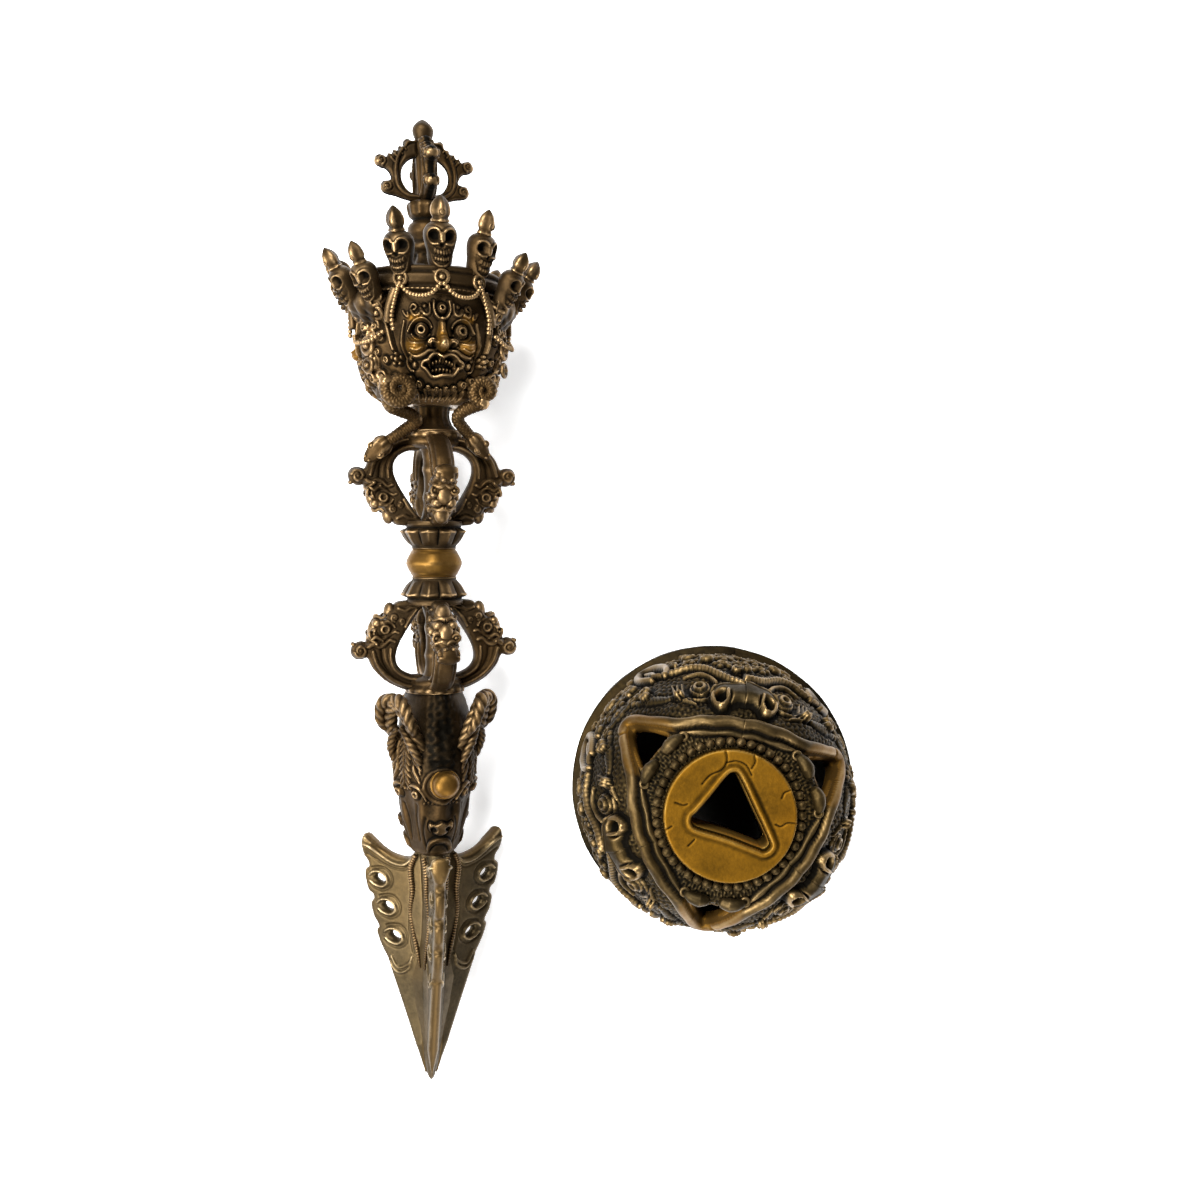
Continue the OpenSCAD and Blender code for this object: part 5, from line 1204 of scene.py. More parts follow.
mouthHole = smoothPath(onFace((48, 8.6), (51, 11.4), (54.5, 15.2), (57.5, 18.8), (60, 19.8), (62.5, 18.8),
                              (65.5, 15.2), (69, 11.4), (72, 8.6), (69, 7.6), (60, 7.3), (51, 7.6)), 5,
                       True)


# Curls of hair and mane: degrees from the middle of a face, height over the table, radius
maneCurls = ((2, 26.5, 1.8), (8, 22.8, 1.9), (0, 20.5, 1.9), (14.5, 18.8, 2), (6.5, 16.6, 2), (22, 17, 2),
             (29.5, 17.4, 1.9), (0, 12.4, 2), (13.5, 12, 2.1), (21, 10.4, 2), (7, 8, 2), (28.5, 8.6, 2),
             (45, 26.4, 2), (51, 24.6, 2.1), (60, 23.6, 2.2), (49, 18.4, 2.1), (56.5, 17.4, 2.2),
             (50.5, 11.4, 2.2), (60, 10.8, 2.4), (54.5, 7, 1.8), (14.6, 6.6, 1.5), (22.6, 6.2, 1.4),
             (0, 6.4, 1.4), (35, 7, 1.5), (47.5, 6.8, 1.6))


# The lip winds from under the nose to the mouth corner, and the brow from the nose down to the ear
lipLine = smoothPath(onFace((-8, 5.3), (0, 5.2), (9, 5.8), (18, 6.0), (26, 6.9), (34, 7.5), (41, 9.2),
                            (47, 12.8), (52, 16.8), (56.5, 21.2), (60, 22.6), (63, 21.2)), 5)
browLine = smoothPath(onFace((-6, 20.4), (0, 19.6), (6, 21.2), (11.5, 24.4), (17, 28.2), (23, 30.4),
                             (29, 30.8), (34, 32.0), (38.5, 35.0)), 5)


# A beast's face on each side of a mouth corner, worked from its broad forms down to the hair
def modelDome(r):
    eye = onFace((21, 19.2))[0]
    brow = 0.95
    r.both("mound", onFace((0, 13))[0], 6.5, 0.9, 0.7)
    r.both("mound", eye, 3.6, -1.1, 1.4)
    r.both("mound", onFace((35, 14))[0], 4.5, 0.9)
    r.mound(onFace((0, 21))[0], 3.8, 1.6, 1.5)
    r.both("mound", onFace((12, 33))[0], 7.0, 0.9, 1.2)
    r.both("mound", onFace((44, 24))[0], 3.4, 0.8, 1.5)
    # stippled skin, kept off the lip and the foot: a sum of waves that run five ways
    gap = alongPath(np.abs(r.a), r.b, lipLine)[0]
    skin = np.clip((gap - 1.5) / 0.8, 0, 1) * np.clip((50 - r.b) / 2, 0, 1)
    grain = sum(np.cos(2 * pi / size * (r.a * cos(way) + r.b * sin(way)) + size * 9)
                for size, way in ((1.15, 0.2), (1.5, 0.9), (1.0, 1.6), (1.7, 2.2), (1.25, 2.8))) / 3
    plain = r.h.copy()
    r.settle()
    # broad nose: a saddle between two open nostrils with thin raised rims
    r.both("slab", onFace((-7, 10.9), (3, 10.9), (7.5, 10.1), (10.5, 8.7), (14.6, 8.9), (17.8, 12.0),
                          (16.4, 15.4), (12, 17.3), (6, 17.0), (0, 17.3), (-7, 17.2)), 2.0, 2.2)
    r.settle()
    r.both("pit", onFace((11.3, 11.9))[0], 1.95, 3.6, 1.05, 6)
    r.both("ridge", onFace((8.6, 13.6), (9.0, 10.6), (12.0, 9.2), (15.6, 10.0), (16.8, 12.6),
                           (15.4, 15.2), (11.5, 16.5), (5.5, 16.3), (0, 16.6), (-6, 16.5)),
           [0.35, 0.5, 0.6, 0.55, 0.5], 0.5, moat=0.1)
    r.settle()
    # rolled lip, which opens into a flat golden loop round the mouth corner
    r.both("ridge", onFace((-8, 3.1), (0, 3.0), (8, 3.3), (16, 3.6), (24, 4.0), (32, 4.8), (39, 6.2)),
           [0.9, 1.1, 0.9, 1.0, 0.5], 0.9)
    r.both("ridge", lipLine, [1.5, 1.3, 1.55, 1.3, 1.5, 1.25, 1.5, 1.4], [1.9, 1.7, 1.9, 1.6, 1.5, 1.4],
           moat=0.3, raw=True, sharp=0.42)
    hole = -insideDistance(r.a, r.b, mouthHole)
    r.tint = np.where(gap < 1.9, 0.05 + 0.6 * np.clip((3.4 - hole) / 1.2, 0, 1), np.clip(1.2 - hole, 0, 1))
    # Darker, with dimmer bright ridges, further down the flank towards the foot: painted shade; and a little
    # darker everywhere off the lip
    r.tint -= 0.3 * np.clip((r.b - 20) / 20, 0, 1) + 0.15 * np.clip((gap - 2) / 2, 0, 1)
    # eyes: almond bulbs in three rings, under a lid, with folds at the outer corner
    r.both("ball", eye, 2.4, 1.7, 1.35, moat=0.3)
    r.settle()
    r.both("ring", eye, 2.45, 0.42, 0.6, tall=1.35)
    r.both("ring", eye, 1.2, 0.42, 0.55, tall=1.3)
    r.both("pit", eye, 0.55, 0.9)
    for step in range(3):
        r.both("ridge", onFace((27.2 + 2 * step, 14.6 - 0.3 * step), (29.4 + 2 * step, 18.0),
                               (28.6 + 2 * step, 23.4 + 0.5 * step)), [0.2, 0.45, 0.2], 0.6)
    r.both("ridge", onFace((12.5, 20.5), (15.5, 24.4), (20.5, 26.4), (26.5, 26.0)), [0.4, 0.7, 0.4], 0.9)
    r.both("ridge", onFace((13.4, 17.0), (17, 14.6), (21.5, 13.6), (26, 14.2)), [0.3, 0.6, 0.3], 0.9)
    # waved brow
    r.both("ridge", browLine, [0.7 * brow, brow, brow, 0.9 * brow, 0.4], 1.7, moat=0.3, raw=True)
    for x, y in resample(browLine[::3], 26)[3:22]:
        r.both("groove", [(x - 0.35, y - 0.9), (x + 0.35, y + 0.9)], 0.17, 0.3, per=3)
    # hair and mane in curls and rosettes
    for number, (angle, high, size) in enumerate(maneCurls):
        at = onFace((angle, np.interp(-high, -lineUp, lineRun)))[0]
        if number % 3 == 0:
            r.both("ball", at, size * 0.98, 0.9, moat=0.3)
            r.both("spiral", at, size * 0.98, 0.26 * size, 1.6, 1.35, 77 * number, -1 if number % 2 else 1)
            continue
        # a rosette: a hollow middle in a ring of petals
        r.both("ring", at, 0.42 * size, 0.22 * size, 1.2, moat=0.1)
        for turn in range(5):
            way = radians(72 * turn + 31 * number)
            r.both("ball", (at[0] + 0.86 * size * cos(way), at[1] + 0.86 * size * sin(way)), 0.42 * size,
                   0.9, moat=0.15)
        r.both("pit", at, 0.22 * size, 0.8)
    # ear with its fold
    r.both("ridge", onFace((33.5, 31), (31.5, 36), (33.5, 42), (38, 47), (42.5, 48), (44.5, 43), (43, 37),
                           (39.5, 32.5)), [0.6, 1.0, 1.1, 1.0, 0.6], 1.9)
    r.both("ridge", onFace((37, 35), (38.2, 40), (40.6, 44.2)), [0.4, 0.8, 0.4], 1.2)
    # ribbed strand that runs from the mouth corner to a curl by the nose
    r.settle()
    r.both("ridge", onFace((50, 25.6), (44, 21.6), (38.5, 18.8), (34, 17.6)), [0.7, 1.4, 1.3, 0.9], 0.9,
           moat=0.2)
    for step in range(9):
        r.both("groove", onFace((36 + 1.5 * step, 16.6 + 0.75 * step),
                                (35.4 + 1.5 * step, 20.6 + 0.75 * step)), 0.17, 0.35, per=3)
    r.both("ball", onFace((32, 16.6))[0], 1.5, 1.2, moat=0.35)
    r.both("spiral", onFace((32, 16.6))[0], 1.5, 0.42, 2.0, 1.35, 90, 1)
    r.both("ridge", onFace((30.5, 14.4), (27.6, 13.4), (25.4, 12.2)), [0.5, 0.6, 0.2], 0.8)
    r.both("ball", onFace((45.5, 24.0))[0], 1.6, 1.0, moat=0.35)
    r.both("spiral", onFace((45.5, 24.0))[0], 1.6, 0.45, 1.8, 1.35, 10, 1)
    r.h += 0.3 * skin * np.clip(grain, -0.5, 1) * np.clip(1 - np.abs(r.h - plain) / 0.5, 0, 1)
    # the band of the foot stays plain
    r.h *= np.clip((51.3 - r.b) / 1.2, 0, 1)
    r.h += 0.12 * waver(np.stack([r.a, r.b, 0 * r.a], -1), 3.0, 1, 5)


domeSide = np.linspace(1, 56.5, 60)
domeOutline = np.array([(-30, -0.7), (30, -0.7)] + [(30, b) for b in domeSide] + [(30, 57.2), (-30, 57.2)]
                       + [(-30, b) for b in domeSide[::-1]])
third = platePart(domeOutline, [mouthHole], standSizes["cell"], lambda a, b: standSizes["wall"] + 0 * a,
                  standSizes["edge"], modelDome, domeSpace, openHoles=True)
domeNodes = (["stand_shell", "stand_eyes"], ["stand_noses", "stand_brows"], ["mane_curls", "lip_rim"])
for k, nodes in enumerate(domeNodes):
    cast("standDome%d" % (k + 1), [turnPart(third, 120 * k)], nodes, "olive", body="stand", place=standPlace)

# Golden plate: cracked disc with a rimmed three-cornered socket, drawn as seen from above
socketHole = smoothPath([(-1.0, 8.6), (0.6, 9.8), (2.0, 8.8), (5.4, 1.6), (8.6, -5.4), (8.7, -6.9),
                         (7.6, -7.7), (6.2, -7.2), (-0.6, -4.6), (-7.2, -2.6), (-8.6, -1.5), (-8.5, -0.1),
                         (-7.4, 0.9), (-4.2, 4.6)], 5, True)
plateSizes = dict(radius=15.4, middle=48.0, half=1.95, edge=0.6, cell=0.24, tubeTop=47.4, tubeFoot=36.2,
                  tubeWall=1.3)
plateTurn = np.linspace(0, 2 * pi, 180, endpoint=False)
plateRing = plateSizes["radius"] * np.stack([np.cos(plateTurn), np.sin(plateTurn)], -1)
cracks = [[(-1.2, 15.2), (-0.8, 13.6), (-0.9, 12.2), (-2.0, 10.6), (-4.6, 9.4), (-6.4, 7.4)],
          [(-0.9, 12.2), (1.4, 12.6), (3.6, 11.6), (4.8, 9.4)], [(5.4, 14.2), (5.6, 12.4), (4.8, 10.9)],
          [(15.2, -1.6), (13.0, -1.4), (11.4, -2.2), (10.2, -1.8)],
          [(13.6, 6.0), (12.2, 5.4), (11.6, 4.2)], [(-12.6, 3.2), (-10.8, 2.6), (-9.8, 2.8)],
          [(-15.0, -3.2), (-13.4, -2.2)], [(-9.6, -6.6), (-8.2, -5.2)]]


# Cracks, then the rounded rim of the socket: e to the minus (distance from its line) to the fourth
def modelPlate(r):
    for crack in cracks:
        r.groove(crack, 0.17, 0.55)
    r.settle()
    d = -insideDistance(r.a, r.b, socketHole)
    r.h += 0.62 * np.exp(-((d - 0.95) / 0.62) ** 4) - 0.16 * np.exp(-((d - 2.1) / 0.35) ** 2)
    r.h += 0.18 * waver(np.stack([r.a, r.b, 0 * r.a], -1), 2.4, 1, 8)


# The plate is drawn as it lies in the scene, so it is turned back before the stand's turn
def unturned(p):
    return spin(p, -standTurn)


disc = platePart(plateRing, [socketHole], plateSizes["cell"], lambda a, b: plateSizes["half"] + 0 * a,
                 plateSizes["edge"], modelPlate,
                 lambda a, b, t: unturned(np.stack([a, b, plateSizes["middle"] + t], -1)))
# The socket's tube: its line pushed outwards along its normals, at the top and the foot
socketOut = np.gradient(socketHole, axis=0)[:, ::-1] * [1, -1]
socketOut /= np.linalg.norm(socketOut, axis=1, keepdims=True)
socketOut *= np.sign((socketOut * socketHole).sum())
tube = []
for grow, high in ((0.02, "tubeTop"), (0.02, "tubeFoot"), (plateSizes["tubeWall"], "tubeFoot"),
                   (plateSizes["tubeWall"], "tubeTop")):
    tube.append(unturned(np.insert(socketHole + grow * socketOut, 2, plateSizes[high], axis=1)))
cast("socketPlate", [disc, gridPart(np.stack(tube), closedU=True, closedV=True)], ["socket_plate"], "plate",
     body="stand", place=standPlace)

# Beads round the plate, each with a small ring on top
beadSizes = dict(count=44, row=16.7, high=46.7, ringHigh=47.5, least=0.98, spread=0.12)
rng = np.random.default_rng(4)
parts = []
for k in range(beadSizes["count"]):
    angle = 2 * pi * k / beadSizes["count"]
    x, y = beadSizes["row"] * cos(angle), beadSizes["row"] * sin(angle)
    size = beadSizes["least"] + beadSizes["spread"] * rng.random()
    parts.append(ballPart((x, y, beadSizes["high"]), size, 10, 14, (1, 1, 1.05)))
    parts.append(ringPart((x, y, beadSizes["ringHigh"]), 0.42, 0.14, (1, 0, 0), (0, 1, 0), 12, 6))
cast("beadRing", parts, ["bead_ring"], "olive", body="stand", place=standPlace)

# Two leaf-shaped fangs at each mouth corner, each ending in a ring
parts = []
for k in range(3):
    for side in (-1, 1):
        t = np.linspace(0, 1, 60)
        angle = np.radians(60 + 120 * k + side * (3 + 17 * t))
        out = 20.2 + 0.5 * np.sin(pi * t) + 0.4 * t
        path = np.stack([out * np.cos(angle), out * np.sin(angle), 45.9 + 0.7 * np.sin(pi * t)], -1)
        wide = np.interp(t, (0, 0.12, 0.4, 0.7, 0.9, 1), (0.5, 1.2, 1.6, 1.35, 1.0, 0.5))
        parts.append(sweepPart(path, wide, 24))
        parts.append(ringPart(path[-1] + [0, 0, 0.2], 0.8, 0.45, (1, 0, 0), (0, 1, 0), 20, 8))
cast("cornerFangs", parts, ["corner_fangs"], "olive", "golden_bronze", body="stand", place=standPlace)

# Head of the beast that bites the blade. Chart: a is the distance round the head from its front, b
# the height over the blade's neck. The tables give half its width and its depth at a height
beastSizes = dict(rows=168, columns=372, low=-2.6, high=39.0, round=9.4, rise=0.8)
beastWide = ((0, 5.4), (3, 6.2), (7, 7.2), (11, 8.0), (14, 8.4), (18, 9.2), (24, 9.6), (30, 9.2),
             (35, 8.0), (39, 6.7))
beastFront = ((0, 6.6), (3, 7.9), (7, 8.8), (11, 9.3), (15, 10.6), (20, 11.8), (25, 11.2), (31, 10.0),
              (36, 8.6), (39, 7))


# The beast's face, worked from its broad forms down to the hair
def modelBeast(r):
    # long snout: cheeks, a soft bridge, and hollows between
    r.both("mound", (5.6, 9.0), 2.6, 0.8, 1.8)
    r.mound((0, 10.0), 2.0, 0.8, 2.0)
    r.both("mound", (3.2, 11.0), 1.6, -0.7, 1.8)
    r.both("mound", (5.6, 16.0), 2.6, 0.9, 0.8)
    r.mound((0, 17.4), 4.0, -0.9, 1.0)
    r.mound((0, 24.6), 3.4, 0.7, 0.8)
    r.mound((0, 31.0), 3.6, -0.8, 0.7)
    r.both("mound", (2.4, 28.0), 1.6, 0.35, 1.6)
    r.both("mound", (9.0, 7.0), 2.2, -0.5, 2.2)
    r.settle()
    # three-cornered nose with two dark nostrils
    r.slab([(0, 4.2), (1.5, 4.7), (3.2, 6.0), (3.1, 7.7), (1.6, 7.3), (0, 8.0), (-1.6, 7.3), (-3.1, 7.7),
            (-3.2, 6.0), (-1.5, 4.7)], 0.9, 1.3)
    r.settle()
    r.both("pit", (2.0, 5.9), 0.85, 1.7, 0.8)
    r.both("ridge", [(0.4, 7.4), (1.6, 7.1), (3.0, 7.6), (3.4, 6.2), (2.6, 5.0)], [0.2, 0.3, 0.2], 0.3)
    # arched lip over the wing's horn, and soft folds of the cheeks
    r.ridge([(-4.4, -0.6), (-3.6, 1.4), (-2.0, 2.6), (0, 2.9), (2.0, 2.6), (3.6, 1.4), (4.4, -0.6)],
            [0.6, 0.9, 0.8, 0.9, 0.6], 1.0)
    r.both("groove", [(5.0, 1.6), (5.4, 5.0), (4.4, 8.6)], 0.5, 0.5)
    r.both("groove", [(7.4, 3.0), (7.8, 7.4), (7.0, 11.6)], 0.6, 0.5)
    # small eyes far out at the sides, under feathered brows
    r.both("ball", (6.6, 14.6), 1.2, 1.0, moat=0.3)
    r.settle()
    r.both("ring", (6.6, 14.6), 0.85, 0.26, 0.35)
    r.both("pit", (6.6, 14.6), 0.35, 0.6)
    r.both("ridge", [(3.8, 13.2), (5.2, 16.2), (7.4, 17.0), (9.4, 15.8)], [0.3, 0.6, 0.3], 0.8)
    for a, b in ((4.4, 12.4), (3.3, 12.7), (2.3, 12.5), (1.3, 12.8)):
        r.both("ball", (a, b), 0.4, 0.4)
    for step in range(9):
        sway = 0.7 * sin(2.3 * step)
        r.both("ridge", [(5.0 + 0.35 * sin(1.7 * step), 17.6 + 1.1 * step),
                         (6.2 + sway, 19.4 + 1.2 * step), (7.0 - 0.5 * sway, 21.4 + 1.2 * step)],
               [0.2, 0.6, 0.25], 0.7, moat=0.3)
        r.both("ridge", [(8.0 + 0.4 * sway, 15.8 + 1.5 * step), (9.4 - 0.3 * sway, 17.6 + 1.5 * step),
                         (9.2, 19.6 + 1.5 * step)], [0.2, 0.65, 0.25], 0.8, moat=0.3)
    r.ring((0, 16.8), 4.2, 0.5, 0.4)
    # rough hair between the horns; the colour is darkened there, and a little down the whole front middle
    hair = np.exp(-(r.a / 4.4) ** 4) * np.clip((r.b - 19) / 4, 0, 1)
    flow = np.stack([r.a, 0.5 * r.b, 0 * r.a], -1)
    r.h += hair * (0.5 * waver(flow, 1.4, 1, 3) + 0.35 * waver(flow, 0.5, 1, 6))
    r.tint = -1.0 * hair - 0.25 * np.exp(-(r.a / 5) ** 4)


# The head's skin: the mean of width and depth, drawn out at its three faces by a cosine, then relief;
# its low end is rounded off as a quarter ball
def beastPart():
    z = beastSizes
    angle = np.linspace(-pi, pi, z["columns"], endpoint=False)[None]
    b = np.linspace(z["low"], z["high"], z["rows"])[:, None]
    wide, deep = (np.interp(b, *smoothPath(table, 8).T) for table in (beastWide, beastFront))
    # the section is a rounded triangle: deep on the three faces, less so between them
    third = (angle + pi / 3) % (2 * pi / 3) - pi / 3
    radius = (0.5 * wide + 0.5 * deep) * (0.93 + 0.08 * np.cos(3 * angle)) + 0.35
    relief = Relief(third * z["round"] + 0 * b, b + 0 * angle)
    modelBeast(relief)
    r = radius + z["rise"] * relief.h * np.clip((b + 0.6) / 1.0, 0, 1)
    r = r * np.sqrt(1 - 0.98 * np.clip(b / z["low"], 0, 1) ** 2)
    return tubePart(aroundAxis(r, angle, b + station["beast"]), relief.tint)


cast("beastHead", [beastPart()], ["beast_head"])
browJewel = turnedPart([(3.5, -1.6), (3.7, -0.5), (3.5, 0.1), (3.2, 0.2), (3.2, 0.9), (2.95, 2.0),
                        (2.35, 2.8), (1.3, 3.3), (0.05, 3.5)], 54, 44)
browJewel = movePart(browJewel, lambda q: np.stack([q[:, 0] + 0.5, q[:, 2], -q[:, 1]], -1))
browJewel = standOut(browJewel, 1.0, -4, 11.0, station["beast"] + 17.6, 0)
cast("browJewel", [browJewel], ["brow_jewel"], "golden")


# A twisted rope of three strands along a path
def ropePart(path, widths, turns):
    count, sides = ropeSizes["count"], ropeSizes["sides"]
    p = resample(path, count)
    w = np.interp(np.linspace(0, 1, count), np.linspace(0, 1, len(widths)), widths)[:, None]
    angle = np.linspace(0, 2 * pi, sides, endpoint=False)[None]
    twist = np.linspace(0, turns * 2 * pi, count)[:, None]
    return sweepPart(p, w * (0.78 + 0.3 * np.abs(np.cos(1.5 * (angle + twist))) ** 0.7), sides)


# Horns: roped loops that spring from the brow, swing out and curl back on the head's side, with a
# short rope under each. A path, its widths and its turns
ropeSizes = dict(count=140, sides=22)
horns = [([(4.4, 8.6, 86.5), (6.4, 9.0, 90.6), (8.8, 8.0, 95.4), (11.4, 5.6, 98.6), (13.6, 3.0, 97.4),
           (13.8, 1.2, 93.2), (11.6, 0.8, 90.4), (9.4, 1.6, 88.4)], [1.0, 1.5, 1.7, 1.6, 1.2, 0.6], 4.5),
         ([(5.2, 9.0, 83.0), (6.6, 9.2, 86.2), (8.2, 8.2, 89.2), (9.6, 6.2, 91.6)], [0.8, 1.1, 0.6], 2)]
parts = []
for k in range(3):
    for side in (-1, 1):
        for path, widths, turns in horns:
            parts.append(turnPart(ropePart(np.array(path) * [side, 1, 1], widths, turns * side), 120 * k))
cast("ramHorns", parts, ["ram_horns"])

# Blade: three wings on a core. A wing's points are (reach from the axis, height over the tip)
bladeSizes = dict(cell=0.25, edge=1.3, blunt=0.3, length=61.2)
holeSizes = dict(long=1.4, short=0.9, tilt=0.4)
wingEdge = [(1.5, 1.0), (4.6, 9.4), (8.2, 18.8), (11.9, 28.1), (12.3, 29.7), (14.8, 33.9), (16.0, 37.2),
            (15.4, 38.2), (15.9, 39.4), (17.0, 41.1), (17.7, 44.2), (16.9, 45.5), (17.2, 46.6),
            (18.5, 47.6), (19.4, 50.4), (19.5, 52.7), (18.4, 53.8), (18.6, 55.0), (19.7, 56.4),
            (20.2, 59.0), (20.0, 61.6), (19.0, 62.2), (17.4, 61.0), (14.6, 59.0), (11.0, 57.4),
            (7.4, 57.0), (5.4, 58.4), (4.0, 60.6), (2.0, 61.0)]
wingOutline = np.concatenate([smoothPath(wingEdge, 5), [(1.2, 40.0), (1.2, 20.0)]])
holePlaces = ((14.9, 51.0), (12.5, 44.0), (10.4, 36.6))


# A hole: an ellipse tilted on the wing
def tiltedHole(x, y):
    t = np.linspace(0, 2 * pi, 12, endpoint=False)
    along, across, tilt = holeSizes["long"] * np.cos(t), holeSizes["short"] * np.sin(t), holeSizes["tilt"]
    return smoothPath(np.stack([x + along * cos(tilt) - across * sin(tilt),
                                y + along * sin(tilt) + across * cos(tilt)], -1), 3, True)


wingHoles = [tiltedHole(x, y) for x, y in holePlaces]


# Leaves, crescent, the hook's border, and a golden outer edge that is partly golden wear and partly painted
# highlight
def modelWing(r):
    # each hole is the eye of a leaf whose raised border opens to the outer edge
    for x, y in holePlaces:
        r.ridge([(x + 2.8, y + 0.8), (x + 1.8, y + 1.6), (x, y + 1.8), (x - 2.0, y + 0.8),
                 (x - 2.4, y - 0.6), (x - 1.0, y - 1.8), (x + 1.2, y - 1.5), (x + 2.6, y - 0.6)],
                [0.3, 0.45, 0.5, 0.45, 0.3], 0.6)
        r.groove([(x + 2.7, y - 1.4), (x + 1.6, y - 2.3), (x - 1.0, y - 2.9), (x - 3.3, y - 1.5),
                  (x - 3.6, y + 0.8), (x - 1.8, y + 2.8), (x + 0.6, y + 2.9), (x + 2.2, y + 2.5)], 0.28,
                 0.4)
    # crescent under the last leaf and the border of the hook
    for rise in (0.0, 1.2):
        r.ridge([(12.4 - rise, 30.2 + rise), (9.2, 27.4 + rise), (6.2, 28.6 + rise), (5.2, 31.8)],
                [0.3, 0.45, 0.3], 0.5)
    r.ridge([(19.4, 60.0), (17.0, 59.2), (14.0, 57.0), (10.8, 55.6), (7.6, 55.4), (5.6, 56.8)],
            [0.35, 0.5, 0.5, 0.4], 0.6)
    r.groove([(18.2, 57.2), (14.8, 55.4), (11.0, 54.2), (7.8, 54.0), (5.8, 55.4)], 0.25, 0.3)
    r.groove([(5.4, 54.0), (5.6, 47.0), (6.0, 39.0), (4.9, 33.0)], 0.25, 0.35)
    # Golden along the outer edge: partly golden wear, partly painted highlight
    edge = insideDistance(r.a, r.b, wingOutline)
    r.tint = 0.22 * np.clip(1.2 - edge / 0.8, 0, 1) * (r.a > 0.13 * r.b + 0.6)


# Half thickness of a wing: thinner outwards, and towards the point
def wingHalf(a, b):
    edgeOut = np.interp(b, (0, 12, 30, 45, 60), (2.4, 5.4, 12, 16.5, 20.5))
    hook = 0.9 * np.clip((b - 56) / 3, 0, 1) * np.clip((a - 13) / 4, 0, 1)
    return (np.clip(1.3 + (edgeOut - a) * 0.06, 1.1, 2.0) + hook) * np.clip(b / 9, 0.3, 1)


wing = platePart(wingOutline, wingHoles, bladeSizes["cell"], wingHalf, bladeSizes["edge"], modelWing,
                 lambda a, b, t: np.stack([t, a, b], -1), blunt=bladeSizes["blunt"])


# The blade is twisted a little against the head
def bladePlace(p):
    return layDown(p, lay["twist"])


for k in range(3):
    cast("bladeWing%d" % (k + 1), [turnPart(wing, 120 * k)], ["blade"], "blade", place=bladePlace)

# Core of the blade: six flat facets between the three edges and the three valleys. In polar form the
# facet from radius e at the edge to radius v at the valley, 60 degrees on, is
# e v sin60 / (e sin t + v sin(60 - t))
coreRun = np.linspace(0, bladeSizes["length"], 130)[:, None]
angle = np.linspace(0, 2 * pi, 120, endpoint=False)[None]
coreEdge = np.interp(coreRun, (0, 0.7, 9.4, 18.8, 26, 31, 37, 46, 61.2),
                     (0.3, 1.0, 4.4, 7.9, 10.2, 9.0, 6.4, 5.0, 5.0))
coreValley = np.interp(coreRun, (0, 0.7, 5, 12, 19, 26, 31, 46, 56, 61.2),
                       (0.28, 0.8, 1.5, 2.3, 2.9, 3.2, 3.0, 3.0, 3.7, 4.4))
share = np.abs((angle + pi / 3) % (2 * pi / 3) - pi / 3)
core = coreEdge * coreValley * sin(pi / 3) / (coreEdge * np.sin(share) + coreValley * np.sin(pi / 3 - share))
corePart = tubePart(aroundAxis(core, angle, coreRun), 0.05 + 0 * core)
cast("bladeCore", [corePart], [], "blade", place=bladePlace)

# Beaded serpents beside the wings' roots, in the three valleys
wingSerpent = dict(rows=265, beads=44, thin=0.44, bead=0.2)
bead = np.abs(np.sin(np.linspace(0, wingSerpent["beads"] * pi, wingSerpent["rows"])))
taper = np.interp(np.linspace(0, 1, wingSerpent["rows"]), (0, 0.1, 0.8, 1), (1.0, 1.2, 0.9, 0.4))
parts = []
for k in range(3):
    for side in (-1, 1):
        route = np.array([(1.9, 4.6, 58.4), (3.6, 4.9, 54.6), (3.3, 4.5, 49.0), (4.2, 4.3, 43.6),
                          (3.4, 4.0, 38.4), (2.0, 3.7, 34.0), (1.0, 3.4, 29.4)]) * [side, 1, 1]
        route = spin(route, radians(-60 - 120 * k))
        widths = (wingSerpent["thin"] + wingSerpent["bead"] * bead) * taper
        parts.append(sweepPart(resample(route, wingSerpent["rows"]), widths, 12))
cast("wingSerpents", parts, ["wing_serpents"], place=bladePlace)

# CAD nodes that nothing above replaces are shown as they are
for name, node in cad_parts.items():
    if not node.hide_render:
        node.data.materials.clear()
        node.data.materials.append(finishes["dark"])
        print("kept", name)

# Camera, looking straight down: its place in metres, lens and sensor in millimetres
cameraSizes = dict(place=(-0.0296, 0.0491, 0.331), lens=37.22, sensor=36, near=0.01)
camera = bpy.data.objects.new("camera", bpy.data.cameras.new("camera"))
camera.location = cameraSizes["place"]
camera.data.lens = cameraSizes["lens"]
camera.data.sensor_width = cameraSizes["sensor"]
camera.data.clip_start = cameraSizes["near"]
bpy.context.scene.collection.objects.link(camera)
bpy.context.scene.camera = camera
bpy.context.scene.view_settings.view_transform = "Standard"

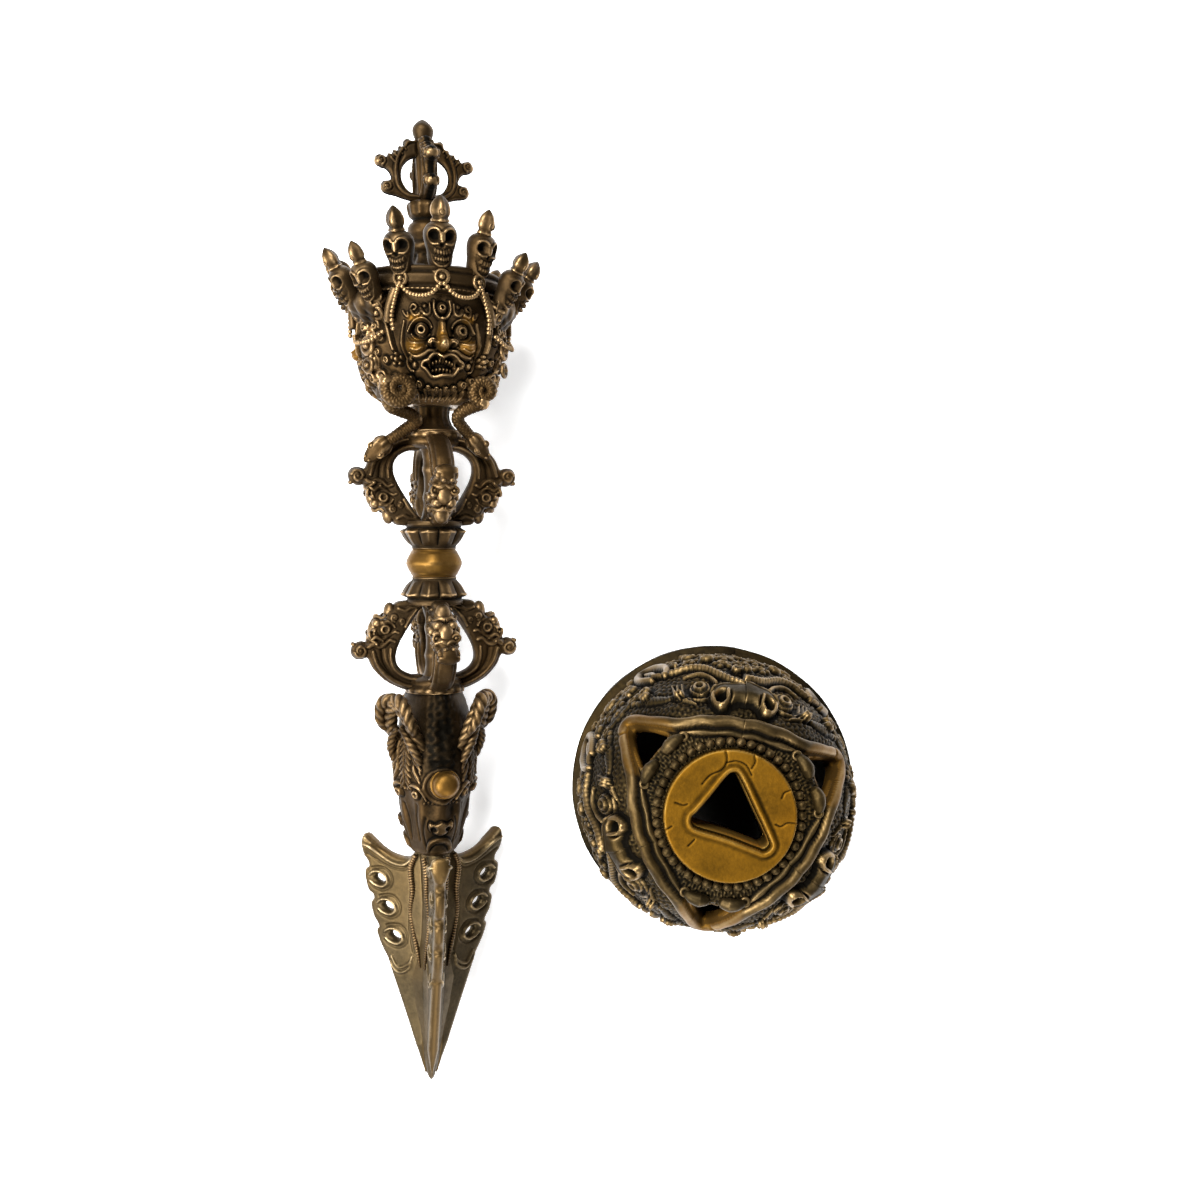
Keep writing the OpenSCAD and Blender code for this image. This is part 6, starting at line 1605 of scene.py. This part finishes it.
# Lamps that face the middle of the scene: place and size in metres, power in watts
lamps = dict(
    left=dict(place=(-0.5, -0.12, 0.6), size=0.42, power=15.0),
    key=dict(place=(-0.16, 0.45, 0.62), size=0.26, power=9.0),
    fill=dict(place=(0.12, -0.6, 0.4), size=0.3, power=3.5),
)
for name, lamp in lamps.items():
    light = bpy.data.lights.new(name, "AREA")
    light.energy, light.size = lamp["power"], lamp["size"]
    holder = bpy.data.objects.new(name, light)
    holder.location = lamp["place"]
    holder.rotation_euler = holder.location.to_track_quat("Z", "Y").to_euler()
    bpy.context.scene.collection.objects.link(holder)

# The floor's painted shade under the stand fades out between the two radii of its footprint, in metres
roomSizes = dict(world=0.2, glow=0.5, floorRough=0.9, floorHalf=3.0, under=0.0001,
                 footprint=(0.0345, 0.0365))
white, black = (1, 1, 1, 1), (0, 0, 0, 1)
world = bpy.data.worlds.new("room")
bpy.context.scene.world = world
world.use_nodes = True
world.node_tree.nodes["Background"].inputs["Color"].default_value = white
world.node_tree.nodes["Background"].inputs["Strength"].default_value = roomSizes["world"]

# White floor that glows for the camera, for reflections and for what is seen through, with painted shade
# where the hollow
# stand covers it: within the footprint round the stand's axis its colour is near black and it doesn't glow
floorMaterial, tree, shader, f = startMaterial("floorWhite")
shader.inputs["Roughness"].default_value = roomSizes["floorRough"]
shader.inputs["Emission Strength"].default_value = roomSizes["glow"]
seen = [f.node("ShaderNodeLightPath", out=k) for k in (0, 3, 6)]
fromAxis = f.node("ShaderNodeVectorMath", dict(operation="LENGTH"), out=1,
                  i0=f.node("ShaderNodeTexCoord", out=3))
# Share outside the painted shade under the stand: nought within the footprint, one beyond it
unshaded = fromAxis.band(*roomSizes["footprint"])
tree.links.new(unshaded.blend((0.01, 0.008, 0.006, 1), (0.86, 0.86, 0.86, 1)).socket,
               shader.inputs["Base Color"])
glow = ((seen[0] + seen[1] + seen[2]).clamp() * unshaded).blend(black, white)
tree.links.new(glow.socket, shader.inputs["Emission Color"])
corners = [(x * roomSizes["floorHalf"], y * roomSizes["floorHalf"])
           for x, y in ((-1, -1), (1, -1), (1, 1), (-1, 1))]
floorMesh = bpy.data.meshes.new("floor")
floorMesh.from_pydata([(x, y, cadBox[0].z - roomSizes["under"]) for x, y in corners], [], [(0, 1, 2, 3)])
floorMesh.materials.append(floorMaterial)
floor = bpy.data.objects.new("floor", floorMesh)
bpy.context.scene.collection.objects.link(floor)

print("cad", [round(v * 1000, 2) for c in cadBox for v in c])
